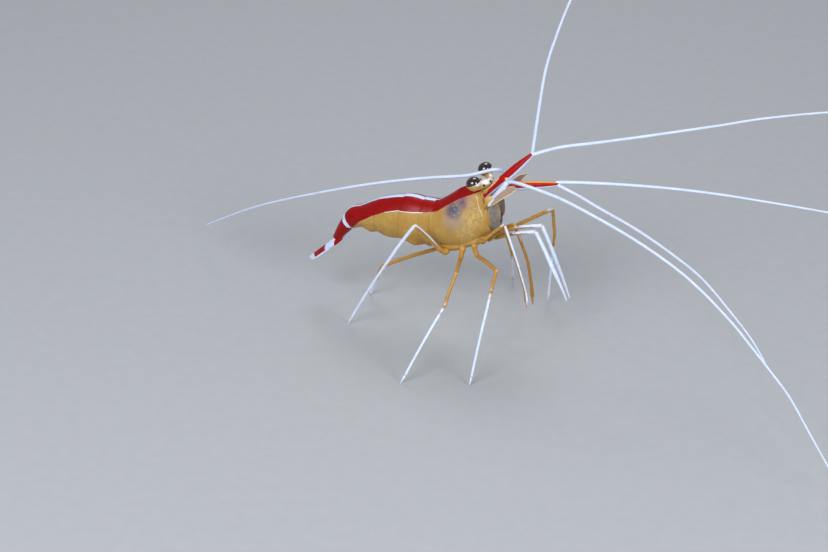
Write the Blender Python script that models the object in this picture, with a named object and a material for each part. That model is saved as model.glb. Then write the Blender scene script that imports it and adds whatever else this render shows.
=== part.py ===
"""Cleaner shrimp (Lysmata amboinensis), life size, standing on six legs with its feelers spread.

The animal's frame: +X towards the head, +Y its left, +Z up, the floor at Z = 0 and X = 0 at the
notch between carapace and abdomen. Sizes here are millimetres; mm() turns them into metres. The
last step moves the whole animal so that the origin is under the middle of its overall box.
"""
import math

import bmesh
import bpy
from mathutils import Matrix, Vector

SEAM = 0.14          # clear gap between two pieces that meet
FLOOR = 0.0          # height of the surface that the feet stand on

SHELL_SIDES = 18     # points round a cross-section of the body
WIDEST = 0.46        # how far down a cross-section its widest line lies
FULLNESS = 0.85      # under 1 makes a cross-section boxier than an ellipse
OVERHANG = 1.025     # each abdominal plate is this much larger behind than in front

FEELER_STEP = 4.0    # length of one straight stretch of a feeler
FEELER_BASE = 0.44   # radius of a feeler where it starts
FEELER_TIP = 0.26    # radius of a feeler at its end

BLADE_THICK = 0.6    # tail blades and antennal scales

# A hoop is one cross-section: its top (X, Z), its bottom (X, Z) and its half width.
CARAPACE = [
    ((0.05, 32.0), (0.5, 21.9), 4.15),
    ((2.6, 33.9), (3.2, 21.3), 4.65),
    ((5.4, 35.9), (6.4, 21.9), 4.75),
    ((8.0, 37.5), (9.6, 23.3), 4.4),
    ((9.8, 38.3), (12.0, 25.0), 3.8),
    ((10.9, 38.2), (13.2, 26.9), 3.1),
    ((11.5, 37.5), (13.6, 28.8), 2.3),
]
ABDOMEN = [
    ((-0.15, 31.9), (0.25, 21.0), 4.1),
    ((-2.9, 31.7), (-2.6, 20.6), 4.2),
    ((-7.4, 31.6), (-7.2, 20.5), 4.3),
    ((-14.2, 29.3), (-12.9, 21.3), 3.8),
    ((-18.4, 26.8), (-16.3, 21.5), 3.3),
    ((-22.4, 24.6), (-19.8, 21.4), 2.55),
    ((-26.0, 17.3), (-23.7, 16.7), 1.5),
]
ROSTRUM = [
    ((9.4, 39.35), (9.5, 38.55), 0.4),
    ((10.9, 40.0), (11.2, 38.9), 0.42),
    ((12.5, 40.7), (12.7, 39.9), 0.36),
    ((14.0, 41.4), (14.1, 41.0), 0.24),
]

# Tail blades: base, tip and greatest width. The telson is the middle one.
TAIL_BLADES = {
    "telson": ((-26.0, 0.0, 16.3), (-32.0, 0.0, 11.0), 2.2),
    "uropod_right_inner": ((-25.2, -1.4, 15.4), (-31.0, -2.6, 10.7), 2.3),
    "uropod_right_outer": ((-24.7, -2.35, 16.6), (-30.3, -5.1, 12.1), 2.6),
    "uropod_left_inner": ((-25.2, 1.4, 15.4), (-30.7, 2.8, 10.2), 2.3),
    "uropod_left_outer": ((-24.7, 2.35, 16.4), (-30.2, 5.8, 10.7), 2.6),
}

# Pleopods folded under plates 1 to 5, as paddles that grow out of each plate.
PLEOPOD_SIDE = 1.9   # distance from the middle plane
PLEOPOD_WIDTH = 2.0
PLEOPOD_REACH = (2.0, 2.4, 2.7, 2.2, 1.8)

EYE_RADIUS = 1.45
EYE = (9.5, 3.3, 40.3)           # the left one; the right one is its mirror
STALK_ROOT = (11.8, 1.05, 39.2)
STALK_RADII = (0.55, 0.72, 0.95)   # at the head, half way, at the eye

# The bundle of small jaws under the head.
MOUTH_CENTRE = (14.4, 0.0, 31.2)
MOUTH_RADII = (1.0, 1.8, 2.7)
MOUTH_TILT = -12                 # degrees about Y

# Limbs: named joints as (X, Y, Z, radius).
ANTENNULES = {
    "right": [(12.4, -1.25, 37.0, 0.85), (15.9, 0.0, 40.9, 0.98), (18.4, 1.0, 43.7, 0.85),
              (20.8, 1.95, 46.4, 0.6)],
    "left": [(12.4, 1.25, 36.7, 0.85), (17.2, 3.2, 37.8, 0.98), (21.6, 4.2, 38.4, 0.85),
             (25.9, 4.95, 38.95, 0.6)],
}
ANTENNA_BASES = {
    "right": [(13.35, -2.5, 35.2, 0.78), (15.2, -2.35, 37.9, 0.8), (16.9, -2.05, 40.7, 0.6)],
    "left": [(13.3, 3.6, 35.0, 0.78), (14.2, 4.1, 37.2, 0.8), (14.4, 3.7, 39.1, 0.6)],
}
SCALES = {
    "right": ((13.9, -4.1, 35.9), (19.9, -5.2, 41.8), (-0.25, -0.75, 0.6), 2.5),
    "left": ((14.3, 5.1, 34.9), (19.3, 5.5, 40.6), (-0.25, 0.75, 0.6), 2.5),
}

# Feelers: route points; the radius falls evenly from FEELER_BASE to FEELER_TIP.
FEELERS = {
    "antennule_right_flagellum_upper": [
        (20.85, 2.25, 47.3), (21.1, 4.5, 56.0), (21.6, 6.5, 64.4), (22.9, 8.0, 71.0),
        (25.4, 10.0, 79.9), (30.0, 12.5, 92.0), (36.0, 15.0, 104.0)],
    "antennule_right_flagellum_lower": [
        (21.75, 2.3, 46.75), (26.2, 5.0, 47.9), (33.2, 9.0, 48.6), (41.7, 14.0, 49.5),
        (55.2, 20.5, 51.7), (64.9, 25.0, 53.5), (77.3, 30.0, 55.2), (85.0, 32.5, 55.8)],
    "antennule_left_flagellum_upper": [
        (26.7, 5.35, 39.5), (37.2, 7.0, 40.4), (48.0, 9.5, 40.6), (58.6, 12.5, 40.0),
        (68.9, 16.0, 38.6), (81.7, 20.0, 36.8), (93.0, 23.5, 34.6)],
    "antennule_left_flagellum_lower": [
        (26.7, 4.6, 38.6), (30.9, 4.4, 37.4), (35.5, 4.0, 35.8), (44.8, 3.0, 32.9),
        (54.2, 1.0, 29.6), (61.4, -1.0, 26.5), (69.0, -4.0, 21.6), (74.0, -6.0, 17.9),
        (78.0, -8.4, 14.4)],
    "antenna_right_flagellum": [
        (17.65, -2.25, 41.15), (21.5, -3.5, 41.7), (30.2, -5.5, 41.4), (39.7, -8.0, 40.0),
        (49.2, -10.5, 38.0), (58.7, -13.5, 35.4), (65.8, -16.0, 32.5), (73.1, -19.0, 28.7),
        (78.0, -21.0, 25.4), (82.8, -23.0, 22.0), (87.7, -25.0, 18.2), (92.9, -28.0, 13.2),
        (98.0, -30.0, 7.3), (100.5, -30.8, 4.2)],
    "antenna_left_flagellum": [
        (14.3, 3.35, 39.9), (13.5, 2.6, 40.8), (12.0, 1.6, 41.1), (9.5, 0.75, 40.3),
        (6.0, 0.3, 39.0), (-2.2, 0.0, 36.9), (-11.6, 0.0, 34.0), (-20.9, 0.0, 30.7),
        (-31.0, 1.0, 26.3), (-42.0, 3.0, 20.9), (-50.6, 5.0, 16.0), (-60.1, 8.0, 9.6),
        (-64.5, 9.7, 6.4)],
}
SPLIT_FEELERS = ("antenna_right_flagellum", "antenna_left_flagellum")

# Legs: the part above the knee and the part below it. A foot's last point is under the floor,
# where it is cut off flat.
LEGS = {
    "maxilliped_right": (
        [(14.6, -1.7, 26.2, 0.7), (17.6, -1.6, 28.0, 0.52), (23.5, -1.5, 29.9, 0.5)],
        [(23.5, -1.5, 29.9, 0.5), (27.6, -1.5, 21.9, 0.66), (31.2, -1.5, 14.5, 0.3)]),
    "maxilliped_left": (
        [(14.6, 1.7, 26.2, 0.7), (17.6, 1.6, 28.0, 0.52), (23.8, 1.5, 30.0, 0.5)],
        [(23.8, 1.5, 30.0, 0.5), (27.6, 1.5, 21.1, 0.66), (30.8, 1.5, 13.4, 0.3)]),
    "claw_right_1": (
        [(13.3, -3.0, 24.3, 0.7), (14.6, -3.3, 27.5, 0.5), (16.7, -3.1, 30.7, 0.42)],
        [(16.7, -3.1, 30.7, 0.42), (20.1, -2.6, 20.8, 0.4), (21.8, -2.3, 14.7, 0.52),
         (22.2, -2.0, 10.4, 0.26)]),
    "claw_left_1": (
        [(13.3, 3.0, 24.3, 0.7), (14.4, 3.2, 26.4, 0.5), (16.8, 2.95, 28.0, 0.42)],
        [(16.8, 2.95, 28.0, 0.42), (20.5, 2.2, 19.8, 0.4), (21.7, 1.9, 13.6, 0.52),
         (22.1, 1.8, 9.4, 0.26)]),
    "claw_right_2": (
        [(11.3, -2.6, 22.6, 0.72), (13.2, -5.0, 26.0, 0.45), (17.4, -4.6, 31.7, 0.4)],
        [(17.4, -4.6, 31.7, 0.4), (20.8, -4.2, 21.7, 0.38), (22.5, -3.9, 15.6, 0.46),
         (22.9, -3.6, 11.3, 0.26)]),
    "claw_left_2": (
        [(11.3, 2.6, 22.6, 0.72), (13.2, 4.8, 24.0, 0.45), (16.2, 4.7, 26.8, 0.36)],
        [(16.2, 4.7, 26.8, 0.36), (19.9, 3.8, 18.8, 0.34), (21.1, 3.5, 12.7, 0.44),
         (21.5, 3.3, 8.6, 0.26)]),
    "leg_right_3": (
        [(8.9, -2.5, 21.2, 0.95), (11.3, -4.6, 22.0, 0.62), (18.7, -12.0, 24.5, 0.45)],
        [(18.7, -12.0, 24.5, 0.45), (18.3, -14.6, 19.0, 0.44), (17.2, -19.0, 6.2, 0.36),
         (16.5, -21.0, 0.0, 0.3), (16.2, -21.7, -1.6, 0.3)]),
    "leg_right_4": (
        [(5.9, -2.5, 20.0, 0.95), (7.6, -5.2, 20.4, 0.62), (9.9, -13.4, 22.4, 0.45)],
        [(9.9, -13.4, 22.4, 0.45), (9.0, -17.6, 16.3, 0.44), (5.0, -23.6, 6.2, 0.36),
         (2.5, -26.4, 0.0, 0.3), (1.8, -27.2, -1.6, 0.3)]),
    "leg_right_5": (
        [(2.7, -2.4, 19.7, 0.95), (1.9, -4.4, 22.4, 0.62), (-1.4, -10.0, 30.1, 0.45)],
        [(-1.4, -10.0, 30.1, 0.45), (-7.1, -9.5, 21.1, 0.44), (-15.8, -8.5, 5.9, 0.36),
         (-18.7, -8.1, 0.0, 0.3), (-19.6, -8.0, -1.6, 0.3)]),
    "leg_left_3": (
        [(8.9, 2.5, 21.2, 0.95), (11.3, 4.6, 22.4, 0.62), (21.9, 13.0, 28.0, 0.45)],
        [(21.9, 13.0, 28.0, 0.45), (22.0, 14.6, 21.0, 0.44), (20.0, 17.9, 6.2, 0.36),
         (19.1, 19.4, 0.0, 0.3), (18.8, 19.9, -1.6, 0.3)]),
    "leg_left_4": (
        [(5.9, 2.5, 20.0, 0.95), (7.6, 5.0, 20.2, 0.62), (11.8, 11.0, 20.2, 0.45)],
        [(11.8, 11.0, 20.2, 0.45), (11.6, 15.0, 13.8, 0.44), (9.4, 21.6, 5.0, 0.36),
         (8.0, 25.4, 0.0, 0.3), (7.5, 26.6, -1.6, 0.3)]),
    "leg_left_5": (
        [(2.7, 2.4, 19.7, 0.95), (0.4, 3.1, 18.2, 0.62), (-15.6, 3.6, 9.6, 0.45)],
        [(-15.6, 3.6, 9.6, 0.45), (-17.4, 4.5, 5.4, 0.4), (-19.2, 5.6, 1.2, 0.34),
         (-19.7, 5.9, 0.0, 0.3), (-20.4, 6.3, -1.6, 0.3)]),
}


def mm(value):
    """Millimetres to metres, for a number or a point."""
    return Vector(value[:3]) * 0.001 if isinstance(value, (tuple, list, Vector)) else value * 0.001


def clear_scene():
    for thing in list(bpy.data.objects):
        bpy.data.objects.remove(thing, do_unlink=True)


def collection(name, shown=True):
    made = bpy.data.collections.new(name)
    bpy.context.scene.collection.children.link(made)
    made.hide_render = not shown
    return made


def finish(name, red, green, blue, roughness):
    """A named Principled BSDF material."""
    made = bpy.data.materials.new(name)
    made.use_nodes = True
    shader = made.node_tree.nodes["Principled BSDF"]
    shader.inputs["Base Color"].default_value = (red, green, blue, 1.0)
    shader.inputs["Roughness"].default_value = roughness
    shader.inputs["Metallic"].default_value = 0.0
    return made


def place(name, data, material, home=None):
    """Links a mesh or curve as a named piece of the animal."""
    piece = bpy.data.objects.new(name, data)
    if not data.materials:
        data.materials.append(material)
    (home or ANIMAL).objects.link(piece)
    piece.parent = ROOT
    return piece


def section(top, bottom, half_width):
    """The points of one cross-section, from its top round and back."""
    top, bottom = Vector((top[0], 0, top[1])), Vector((bottom[0], 0, bottom[1]))
    middle = top.lerp(bottom, WIDEST)
    ring = []
    for i in range(SHELL_SIDES):
        turn = 2 * math.pi * i / SHELL_SIDES
        up, out = math.cos(turn), math.sin(turn)
        reach = (top - middle) if up > 0 else (middle - bottom)
        across = half_width * math.copysign(abs(out) ** FULLNESS, out)
        ring.append(mm(middle + reach * up + Vector((0, across, 0))))
    return ring


def loft(name, hoops, material):
    """A closed body through unlike cross-sections, with flat ends."""
    shape = bmesh.new()
    rings = [[shape.verts.new(point) for point in section(*hoop)] for hoop in hoops]
    for near, far in zip(rings, rings[1:]):
        for i in range(SHELL_SIDES):
            j = (i + 1) % SHELL_SIDES
            shape.faces.new((near[i], near[j], far[j], far[i]))
    shape.faces.new(rings[0])
    shape.faces.new(rings[-1])
    bmesh.ops.recalc_face_normals(shape, faces=shape.faces)
    mesh = bpy.data.meshes.new(name)
    shape.to_mesh(mesh)
    shape.free()
    mesh.shade_smooth()
    mesh.set_sharp_from_angle(angle=math.radians(40))
    return place(name, mesh, material)


def blend(values, place_along):
    """Catmull-Rom through evenly numbered values; place_along counts them from 0."""
    start = min(int(place_along), len(values) - 2)
    t = place_along - start
    before = values[max(start - 1, 0)]
    a, b = values[start], values[start + 1]
    after = values[min(start + 2, len(values) - 1)]
    slope_a, slope_b = (b - before) / 2, (after - a) / 2
    return (
        a * (2 * t**3 - 3 * t**2 + 1)
        + slope_a * (t**3 - 2 * t**2 + t)
        + b * (3 * t**2 - 2 * t**3)
        + slope_b * (t**3 - t**2)
    )


def abdomen_hoop(place_along, size=1.0):
    """The abdomen's cross-section between its named hoops, made larger or smaller by size."""
    top = blend([Vector(h[0]) for h in ABDOMEN], place_along)
    bottom = blend([Vector(h[1]) for h in ABDOMEN], place_along)
    half_width = blend([h[2] for h in ABDOMEN], place_along)
    middle = (top + bottom) / 2
    return middle + (top - middle) * size, middle + (bottom - middle) * size, half_width * size


def curve_data(name, rings, sides_step):
    """A curve through (point, radius) pairs, in metres, with filled ends."""
    data = bpy.data.curves.new(name, "CURVE")
    data.dimensions = "3D"
    data.bevel_depth = 0.001
    data.bevel_resolution = sides_step
    data.use_fill_caps = True
    spline = data.splines.new("POLY")
    spline.points.add(len(rings) - 1)
    for knot, (point, radius) in zip(spline.points, rings):
        knot.co = (*mm(point), 1.0)
        knot.radius = radius
    return data


def as_mesh(piece):
    """The piece's evaluated shape as a new mesh piece of the same name, its caps welded."""
    graph = bpy.context.evaluated_depsgraph_get()
    mesh = bpy.data.meshes.new_from_object(piece.evaluated_get(graph), depsgraph=graph)
    name, place_matrix, home = piece.name, piece.matrix_world.copy(), piece.users_collection[0]
    bpy.data.objects.remove(piece, do_unlink=True)
    shape = bmesh.new()
    shape.from_mesh(mesh)
    bmesh.ops.remove_doubles(shape, verts=shape.verts, dist=1e-6)
    shape.to_mesh(mesh)
    shape.free()
    made = place(name, mesh, None, home)
    made.matrix_world = place_matrix
    return made


def cut_at_floor(piece):
    """Takes off what is under the floor and closes the cut with a flat sole."""
    shape = bmesh.new()
    shape.from_mesh(piece.data)
    everything = shape.verts[:] + shape.edges[:] + shape.faces[:]
    cut = bmesh.ops.bisect_plane(
        shape, geom=everything, dist=1e-7, plane_co=(0, 0, mm(FLOOR)), plane_no=(0, 0, -1),
        clear_outer=True,
    )
    rim = [edge for edge in cut["geom_cut"] if isinstance(edge, bmesh.types.BMEdge)]
    bmesh.ops.contextual_create(shape, geom=rim)
    for vertex in shape.verts:
        if abs(vertex.co.z - mm(FLOOR)) < 1e-7:
            vertex.co.z = mm(FLOOR)
    bmesh.ops.recalc_face_normals(shape, faces=shape.faces)
    shape.to_mesh(piece.data)
    shape.free()


def limb(name, joints, material):
    """A jointed tube through (X, Y, Z, radius) joints."""
    rings = [(Vector(joint[:3]), joint[3]) for joint in joints]
    return place(name, curve_data(name, rings, 2), material)


def clear_of_bend(before, bend, after, radius):
    """How far past a bend the next tube starts, so that it clears the one before it."""
    inside = (before - bend).angle(after - bend)
    return radius / math.tan(inside / 2) + SEAM


def leg(name, upper, lower, materials):
    """The two lengths of a leg. A foot that reaches the floor gets a flat sole."""
    before, bend, after = Vector(upper[-2][:3]), Vector(lower[0][:3]), Vector(lower[1][:3])
    radius = lower[0][3]
    gap = clear_of_bend(before, bend, after, radius)
    start = bend + (after - bend).normalized() * gap
    limb(name + "_upper", upper, materials[0])
    below = limb(name + "_lower", [(*start, radius), *lower[1:]], materials[1])
    if lower[-1][2] < FLOOR:
        bpy.context.view_layer.update()
        cut_at_floor(as_mesh(below))


def route(points):
    """Evenly spaced points on a smooth line through the route's own points."""
    knots = [Vector(point) for point in points]
    fine = [blend(knots, i / 12) for i in range(12 * (len(knots) - 1) + 1)]
    length = sum((b - a).length for a, b in zip(fine, fine[1:]))
    count = max(2, round(length / FEELER_STEP))
    spaced, walked, wanted = [fine[0]], 0.0, length / count
    for a, b in zip(fine, fine[1:]):
        step = (b - a).length
        while walked + step >= wanted * len(spaced) and len(spaced) < count:
            spaced.append(a.lerp(b, (wanted * len(spaced) - walked) / step))
        walked += step
    return spaced + [fine[-1]]


def feeler(name, points, material):
    """A tapering feeler, whole or in two lengths that meet half way."""
    line = route(points)
    last = len(line) - 1
    rings = [(p, FEELER_BASE + (FEELER_TIP - FEELER_BASE) * i / last) for i, p in enumerate(line)]
    if name not in SPLIT_FEELERS:
        place(name, curve_data(name, rings, 1), material)
        return
    half = last // 2
    place(name + "_base", curve_data(name, rings[: half + 1], 1), material)
    (joint, radius), (following, _) = rings[half], rings[half + 1]
    joint = joint + (following - joint).normalized() * SEAM
    rest = [(joint, radius), *rings[half + 1 :]]
    place(name + "_tip", curve_data(name, rest, 1), material)


def blade_frame(base, tip, facing):
    """The placing of a flat blade: X from base to tip, Z out of its face."""
    along = (Vector(tip) - Vector(base)).normalized()
    out = Vector(facing)
    out = (out - along * out.dot(along)).normalized()
    across = out.cross(along)
    turn = Matrix((along, across, out)).transposed().to_4x4()
    return Matrix.Translation(mm(base)) @ turn


def blade(name, base, tip, facing, width, material, home=None):
    """A leaf-shaped plate, narrow at its base and round at its tip."""
    length = (Vector(tip) - Vector(base)).length
    data = bpy.data.curves.new(name, "CURVE")
    data.dimensions = "2D"
    data.fill_mode = "BOTH"
    data.extrude = mm(BLADE_THICK / 2)
    steps = 9
    edge = []
    for i in range(steps + 1):
        t = i / steps
        half = width / 2 * (0.42 + 0.58 * math.sin(math.pi * min(t, 0.62) / 1.24))
        if t > 0.62:
            half = width / 2 * math.sqrt(max(0.0, 1 - ((t - 0.62) / 0.38) ** 2))
        edge.append((length * t, half))
    outline = edge + [(x, -y) for x, y in reversed(edge[:-1])]
    spline = data.splines.new("POLY")
    spline.points.add(len(outline) - 1)
    for knot, (x, y) in zip(spline.points, outline):
        knot.co = (mm(x), mm(y), 0.0, 1.0)
    spline.use_cyclic_u = True
    piece = place(name, data, material, home)
    piece.matrix_local = blade_frame(base, tip, facing)
    return piece


def ball(name, centre, radii, material, tilt=0.0):
    """An ellipsoid, its radii along X, Y and Z, tilted about Y."""
    shape = bmesh.new()
    bmesh.ops.create_uvsphere(shape, u_segments=16, v_segments=10, radius=1.0)
    stretch = Matrix.Diagonal((*mm(radii), 1.0))
    turn = Matrix.Rotation(tilt, 4, "Y")
    bmesh.ops.transform(shape, matrix=turn @ stretch, verts=shape.verts)
    mesh = bpy.data.meshes.new(name)
    shape.to_mesh(mesh)
    shape.free()
    mesh.shade_smooth()
    piece = place(name, mesh, material)
    piece.location = mm(centre)
    return piece


def eye(side, sign, cornea, stalk):
    """An eyeball and the short stalk that carries it from the head."""
    centre = Vector((EYE[0], sign * EYE[1], EYE[2]))
    root = Vector((STALK_ROOT[0], sign * STALK_ROOT[1], STALK_ROOT[2]))
    ball(f"eye_{side}", centre, (EYE_RADIUS,) * 3, cornea)
    inward = (root - centre).normalized()
    collar = centre + inward * (EYE_RADIUS + SEAM)
    rings = [(*root.lerp(collar, i / 2), radius) for i, radius in enumerate(STALK_RADII)]
    limb(f"eyestalk_{side}", rings, stalk)


def join(target, tools):
    """Unites the tools with the target and keeps them only as hidden helpers."""
    for tool in tools:
        union = target.modifiers.new("join " + tool.name, "BOOLEAN")
        union.operation = "UNION"
        union.solver = "EXACT"
        union.object = tool
        tool.hide_render = True
        tool.display_type = "WIRE"


def abdomen_plate(number, shell, paddle):
    """One abdominal plate with its pair of folded paddles; the sixth has none."""
    front = number - 1
    behind = ABDOMEN[number]
    spans = [(Vector(behind[end]) - Vector(ABDOMEN[front][end])).length for end in (0, 1)]
    gap = 2 * SEAM / min(spans)
    hoops = [
        abdomen_hoop(front + gap, 1.0),
        abdomen_hoop(front + 0.5, (1 + OVERHANG) / 2),
        abdomen_hoop(front + 1 - gap / 2, OVERHANG),
    ]
    plate = loft(f"abdomen_{number}", hoops, shell)
    if number > len(PLEOPOD_REACH):
        return
    under = abdomen_hoop(front + 0.5)[1]
    reach = PLEOPOD_REACH[number - 1]
    paddles = []
    for side, sign in (("right", -1), ("left", 1)):
        root = (under.x + 0.4, sign * PLEOPOD_SIDE * (1 - 0.08 * number), under.y + 0.9)
        tip = (root[0] - reach * 0.7, root[1] * 1.1, root[2] - reach * 0.7)
        paddle_piece = blade(f"pleopod_{side}_{number}", root, tip, (0.3, 0, 1), PLEOPOD_WIDTH,
                             paddle, HELPERS)
        bpy.context.view_layer.update()
        paddles.append(as_mesh(paddle_piece))
    join(plate, paddles)


def centre_on_floor():
    """Moves the animal so that the origin lies under the middle of its overall box."""
    bpy.context.view_layer.update()
    graph = bpy.context.evaluated_depsgraph_get()
    corners = []
    for piece in ROOT.children:
        if piece.hide_render:
            continue
        evaluated = piece.evaluated_get(graph)
        mesh = evaluated.to_mesh()
        corners += [evaluated.matrix_world @ vertex.co for vertex in mesh.vertices]
        evaluated.to_mesh_clear()
    low = [min(corner[axis] for corner in corners) for axis in range(3)]
    high = [max(corner[axis] for corner in corners) for axis in range(3)]
    ROOT.location = (-(low[0] + high[0]) / 2, -(low[1] + high[1]) / 2, -low[2])


def build():
    scarlet = finish("scarlet shell", 0.42, 0.004, 0.006, 0.35)
    amber = finish("amber shell", 0.52, 0.32, 0.10, 0.4)
    white = finish("white feeler", 0.80, 0.87, 1.0, 0.5)
    limb_amber = finish("amber limb", 0.55, 0.29, 0.05, 0.4)
    limb_white = finish("white limb", 0.72, 0.79, 0.92, 0.45)
    cornea = finish("dark cornea", 0.01, 0.004, 0.005, 0.08)
    pale = finish("pale stalk", 0.60, 0.50, 0.38, 0.4)

    loft("carapace", CARAPACE, amber)
    loft("rostrum", ROSTRUM, scarlet)
    for number in range(1, len(ABDOMEN)):
        abdomen_plate(number, scarlet if number > 5 else amber, amber)
    for name, (base, tip, width) in TAIL_BLADES.items():
        lean = base[1] / 6
        blade(name, base, tip, (-0.55, lean, 0.75), width, scarlet)
    for side, sign in (("right", -1), ("left", 1)):
        eye(side, sign, cornea, pale)
        limb(f"antennule_{side}", ANTENNULES[side], scarlet)
        limb(f"antenna_{side}", ANTENNA_BASES[side], white)
        base, tip, facing, width = SCALES[side]
        blade(f"antennal_scale_{side}", base, tip, facing, width, pale)
    ball("mouthparts", MOUTH_CENTRE, MOUTH_RADII, amber, math.radians(MOUTH_TILT))
    for name, points in FEELERS.items():
        feeler(name, points, white)
    for name, (upper, lower) in LEGS.items():
        lower_finish = limb_amber if name.startswith("claw") else limb_white
        leg(name, upper, lower, (limb_amber, lower_finish))
    centre_on_floor()


clear_scene()
ANIMAL = collection("cleaner_shrimp")
HELPERS = collection("joined_helpers", shown=False)
ROOT = bpy.data.objects.new("shrimp", None)
ANIMAL.objects.link(ROOT)
build()
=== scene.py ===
"""The looks of a life-size cleaner shrimp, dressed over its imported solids."""
import math
import random
from contextlib import contextmanager

import bpy
from mathutils import Matrix, Vector


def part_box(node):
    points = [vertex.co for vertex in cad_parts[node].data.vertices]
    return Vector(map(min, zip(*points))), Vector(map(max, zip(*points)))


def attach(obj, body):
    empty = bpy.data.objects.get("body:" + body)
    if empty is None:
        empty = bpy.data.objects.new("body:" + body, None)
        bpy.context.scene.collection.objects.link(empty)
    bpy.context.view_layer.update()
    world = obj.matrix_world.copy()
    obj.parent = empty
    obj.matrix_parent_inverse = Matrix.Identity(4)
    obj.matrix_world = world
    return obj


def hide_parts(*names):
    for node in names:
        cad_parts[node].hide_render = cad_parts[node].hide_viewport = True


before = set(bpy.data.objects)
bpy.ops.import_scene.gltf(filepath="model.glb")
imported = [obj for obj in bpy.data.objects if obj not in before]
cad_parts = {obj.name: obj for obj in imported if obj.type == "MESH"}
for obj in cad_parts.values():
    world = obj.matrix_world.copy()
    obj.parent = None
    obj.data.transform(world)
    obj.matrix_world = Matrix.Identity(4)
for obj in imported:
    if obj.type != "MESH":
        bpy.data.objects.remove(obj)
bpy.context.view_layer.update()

random.seed(7)

# Places are millimetres in the animal's own frame: +X towards the head, +Y its left, +Z up from
# the floor, and X = 0 at the notch between carapace and abdomen.
MM = 0.001
EYE = Vector((9.5, 3.3, 40.3))
eye_low, eye_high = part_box("eye_right")
HOME = (eye_low + eye_high) / 2 - Vector((EYE.x, -EYE.y, EYE.z)) * MM
SIDES = (("right", -1), ("left", 1))

# Body hoops: top (X, Z), bottom (X, Z), half width.
CARAPACE = [
    ((-0.55, 31.8), (-0.3, 21.9), 4.25),
    ((0.6, 32.4), (0.9, 21.5), 4.4),
    ((2.6, 33.9), (3.2, 21.2), 4.7),
    ((5.4, 35.9), (6.4, 21.8), 4.75),
    ((8.0, 37.5), (9.6, 23.2), 4.4),
    ((9.8, 38.3), (12.0, 25.0), 3.8),
    ((10.9, 38.2), (13.2, 26.9), 3.1),
    ((11.5, 37.5), (13.6, 28.8), 2.3),
]
ABDOMEN = [
    ((-0.15, 31.9), (0.25, 21.0), 4.1),
    ((-2.9, 31.7), (-2.6, 20.6), 4.2),
    ((-7.4, 31.6), (-7.2, 20.5), 4.3),
    ((-14.2, 29.3), (-12.9, 21.3), 3.8),
    ((-18.4, 26.8), (-16.3, 21.5), 3.3),
    ((-22.4, 24.6), (-19.8, 21.4), 2.55),
    ((-26.0, 17.3), (-23.7, 16.7), 1.5),
]
SHELL_SIDES = 40
SHELL_WALL = 0.12                # thickness of a shell plate
# How far round from the back the shell reaches, in degrees: over the thorax, over the abdomen.
CARAPACE_ANGLE, PLEURA_ANGLE = 140, 146
LEAF_WAIST, LEAF_WIDEST = 0.42, 0.62     # a leaf's narrow base, and where it is widest
WRIST_RINGS = 14                 # rings in the wrist of a second claw leg
SETA_ROWS = 26                   # rows of setae along a maxilliped's article
CORNEA_HALVES = (1.45, 1.66, 1.66)       # half the eye's globe along its stalk and across

# Markings: the lower edge of the scarlet band (X, Z), and the white stripe in it (X, half width).
SCARLET_EDGE = [
    (-30.0, 0.0), (-22.6, 14.0), (-21.6, 18.0), (-20.4, 21.2), (-17.9, 24.1), (-15.0, 26.1),
    (-11.6, 28.0), (-8.4, 29.1), (-3.8, 29.6), (-0.8, 30.1), (0.8, 30.7), (2.5, 32.1), (4.0, 33.3),
    (5.6, 34.5), (7.6, 35.7), (9.4, 36.6), (12.5, 38.0),
]
STRIPE_HALF = [
    (-26.0, 0.8), (-24.2, 0.7), (-23.6, 1.0), (-22.4, 1.0), (-21.4, 0.4), (-20.0, 0.3),
    (-15.0, 0.5), (-12.0, 0.68), (-7.0, 0.68), (-0.8, 0.55), (-0.5, 0.2), (10.0, 0.16),
]
# The white rim between scarlet and amber, and the X that it runs between.
RIM_WIDTH, RIM_BACK, RIM_FRONT = 0.14, -11.5, -2.5
# The white collar over the tail's joint: a point on its line (X, Z), the way across it, and its
# half width (Z, half width) from its foot up.
COLLAR_POINT, COLLAR_WAY = Vector((-22.4, 24.6)), Vector((-0.776, -0.63))
COLLAR_HALF = [(20.6, 0.3), (22.5, 0.62)]
# The pale seam along the carapace's front edge: a point on it (X, Z) and the way across it.
SEAM_POINT, SEAM_WAY = Vector((10.1, 36.1)), Vector((0.923, 0.386))
SEAM_ENDS = ((30.2, 32.2), (37.0, 36.2))     # for each end, the Z where it is gone and is full
# The brown underside of the thorax: the Z where it starts, its fade downwards, its rear X.
BELLY_TOP, BELLY_FADE, BELLY_BACK = 23.6, 3.0, -4
JOINT_SPOT = 0.6                 # reach of the orange spot round a limb's joint
FAR = 9.0                        # a distance that is clear of any marking
# Soft blots on the side: middle (X, Z), reach, strength.
BLOTS = {
    "gut": (((5.2, 32.4), 2.3, 1.0), ((6.6, 33.8), 1.9, 0.7)),
    "haze": (((5.2, 30.4), 3.4, 1.0), ((8.0, 34.2), 2.4, 0.5)),
    "mauve": (((6.9, 34.9), 1.7, 1.0), ((4.0, 31.6), 1.6, 0.5)),
    "glint": (((5.4, 32.8), 1.9, 1.0), ((9.8, 34.6), 2.2, 0.45)),
    "bloom": (((9.6, 31.4), 3.4, 1.0), ((8.4, 27.6), 3.2, 0.7)),
}

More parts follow.
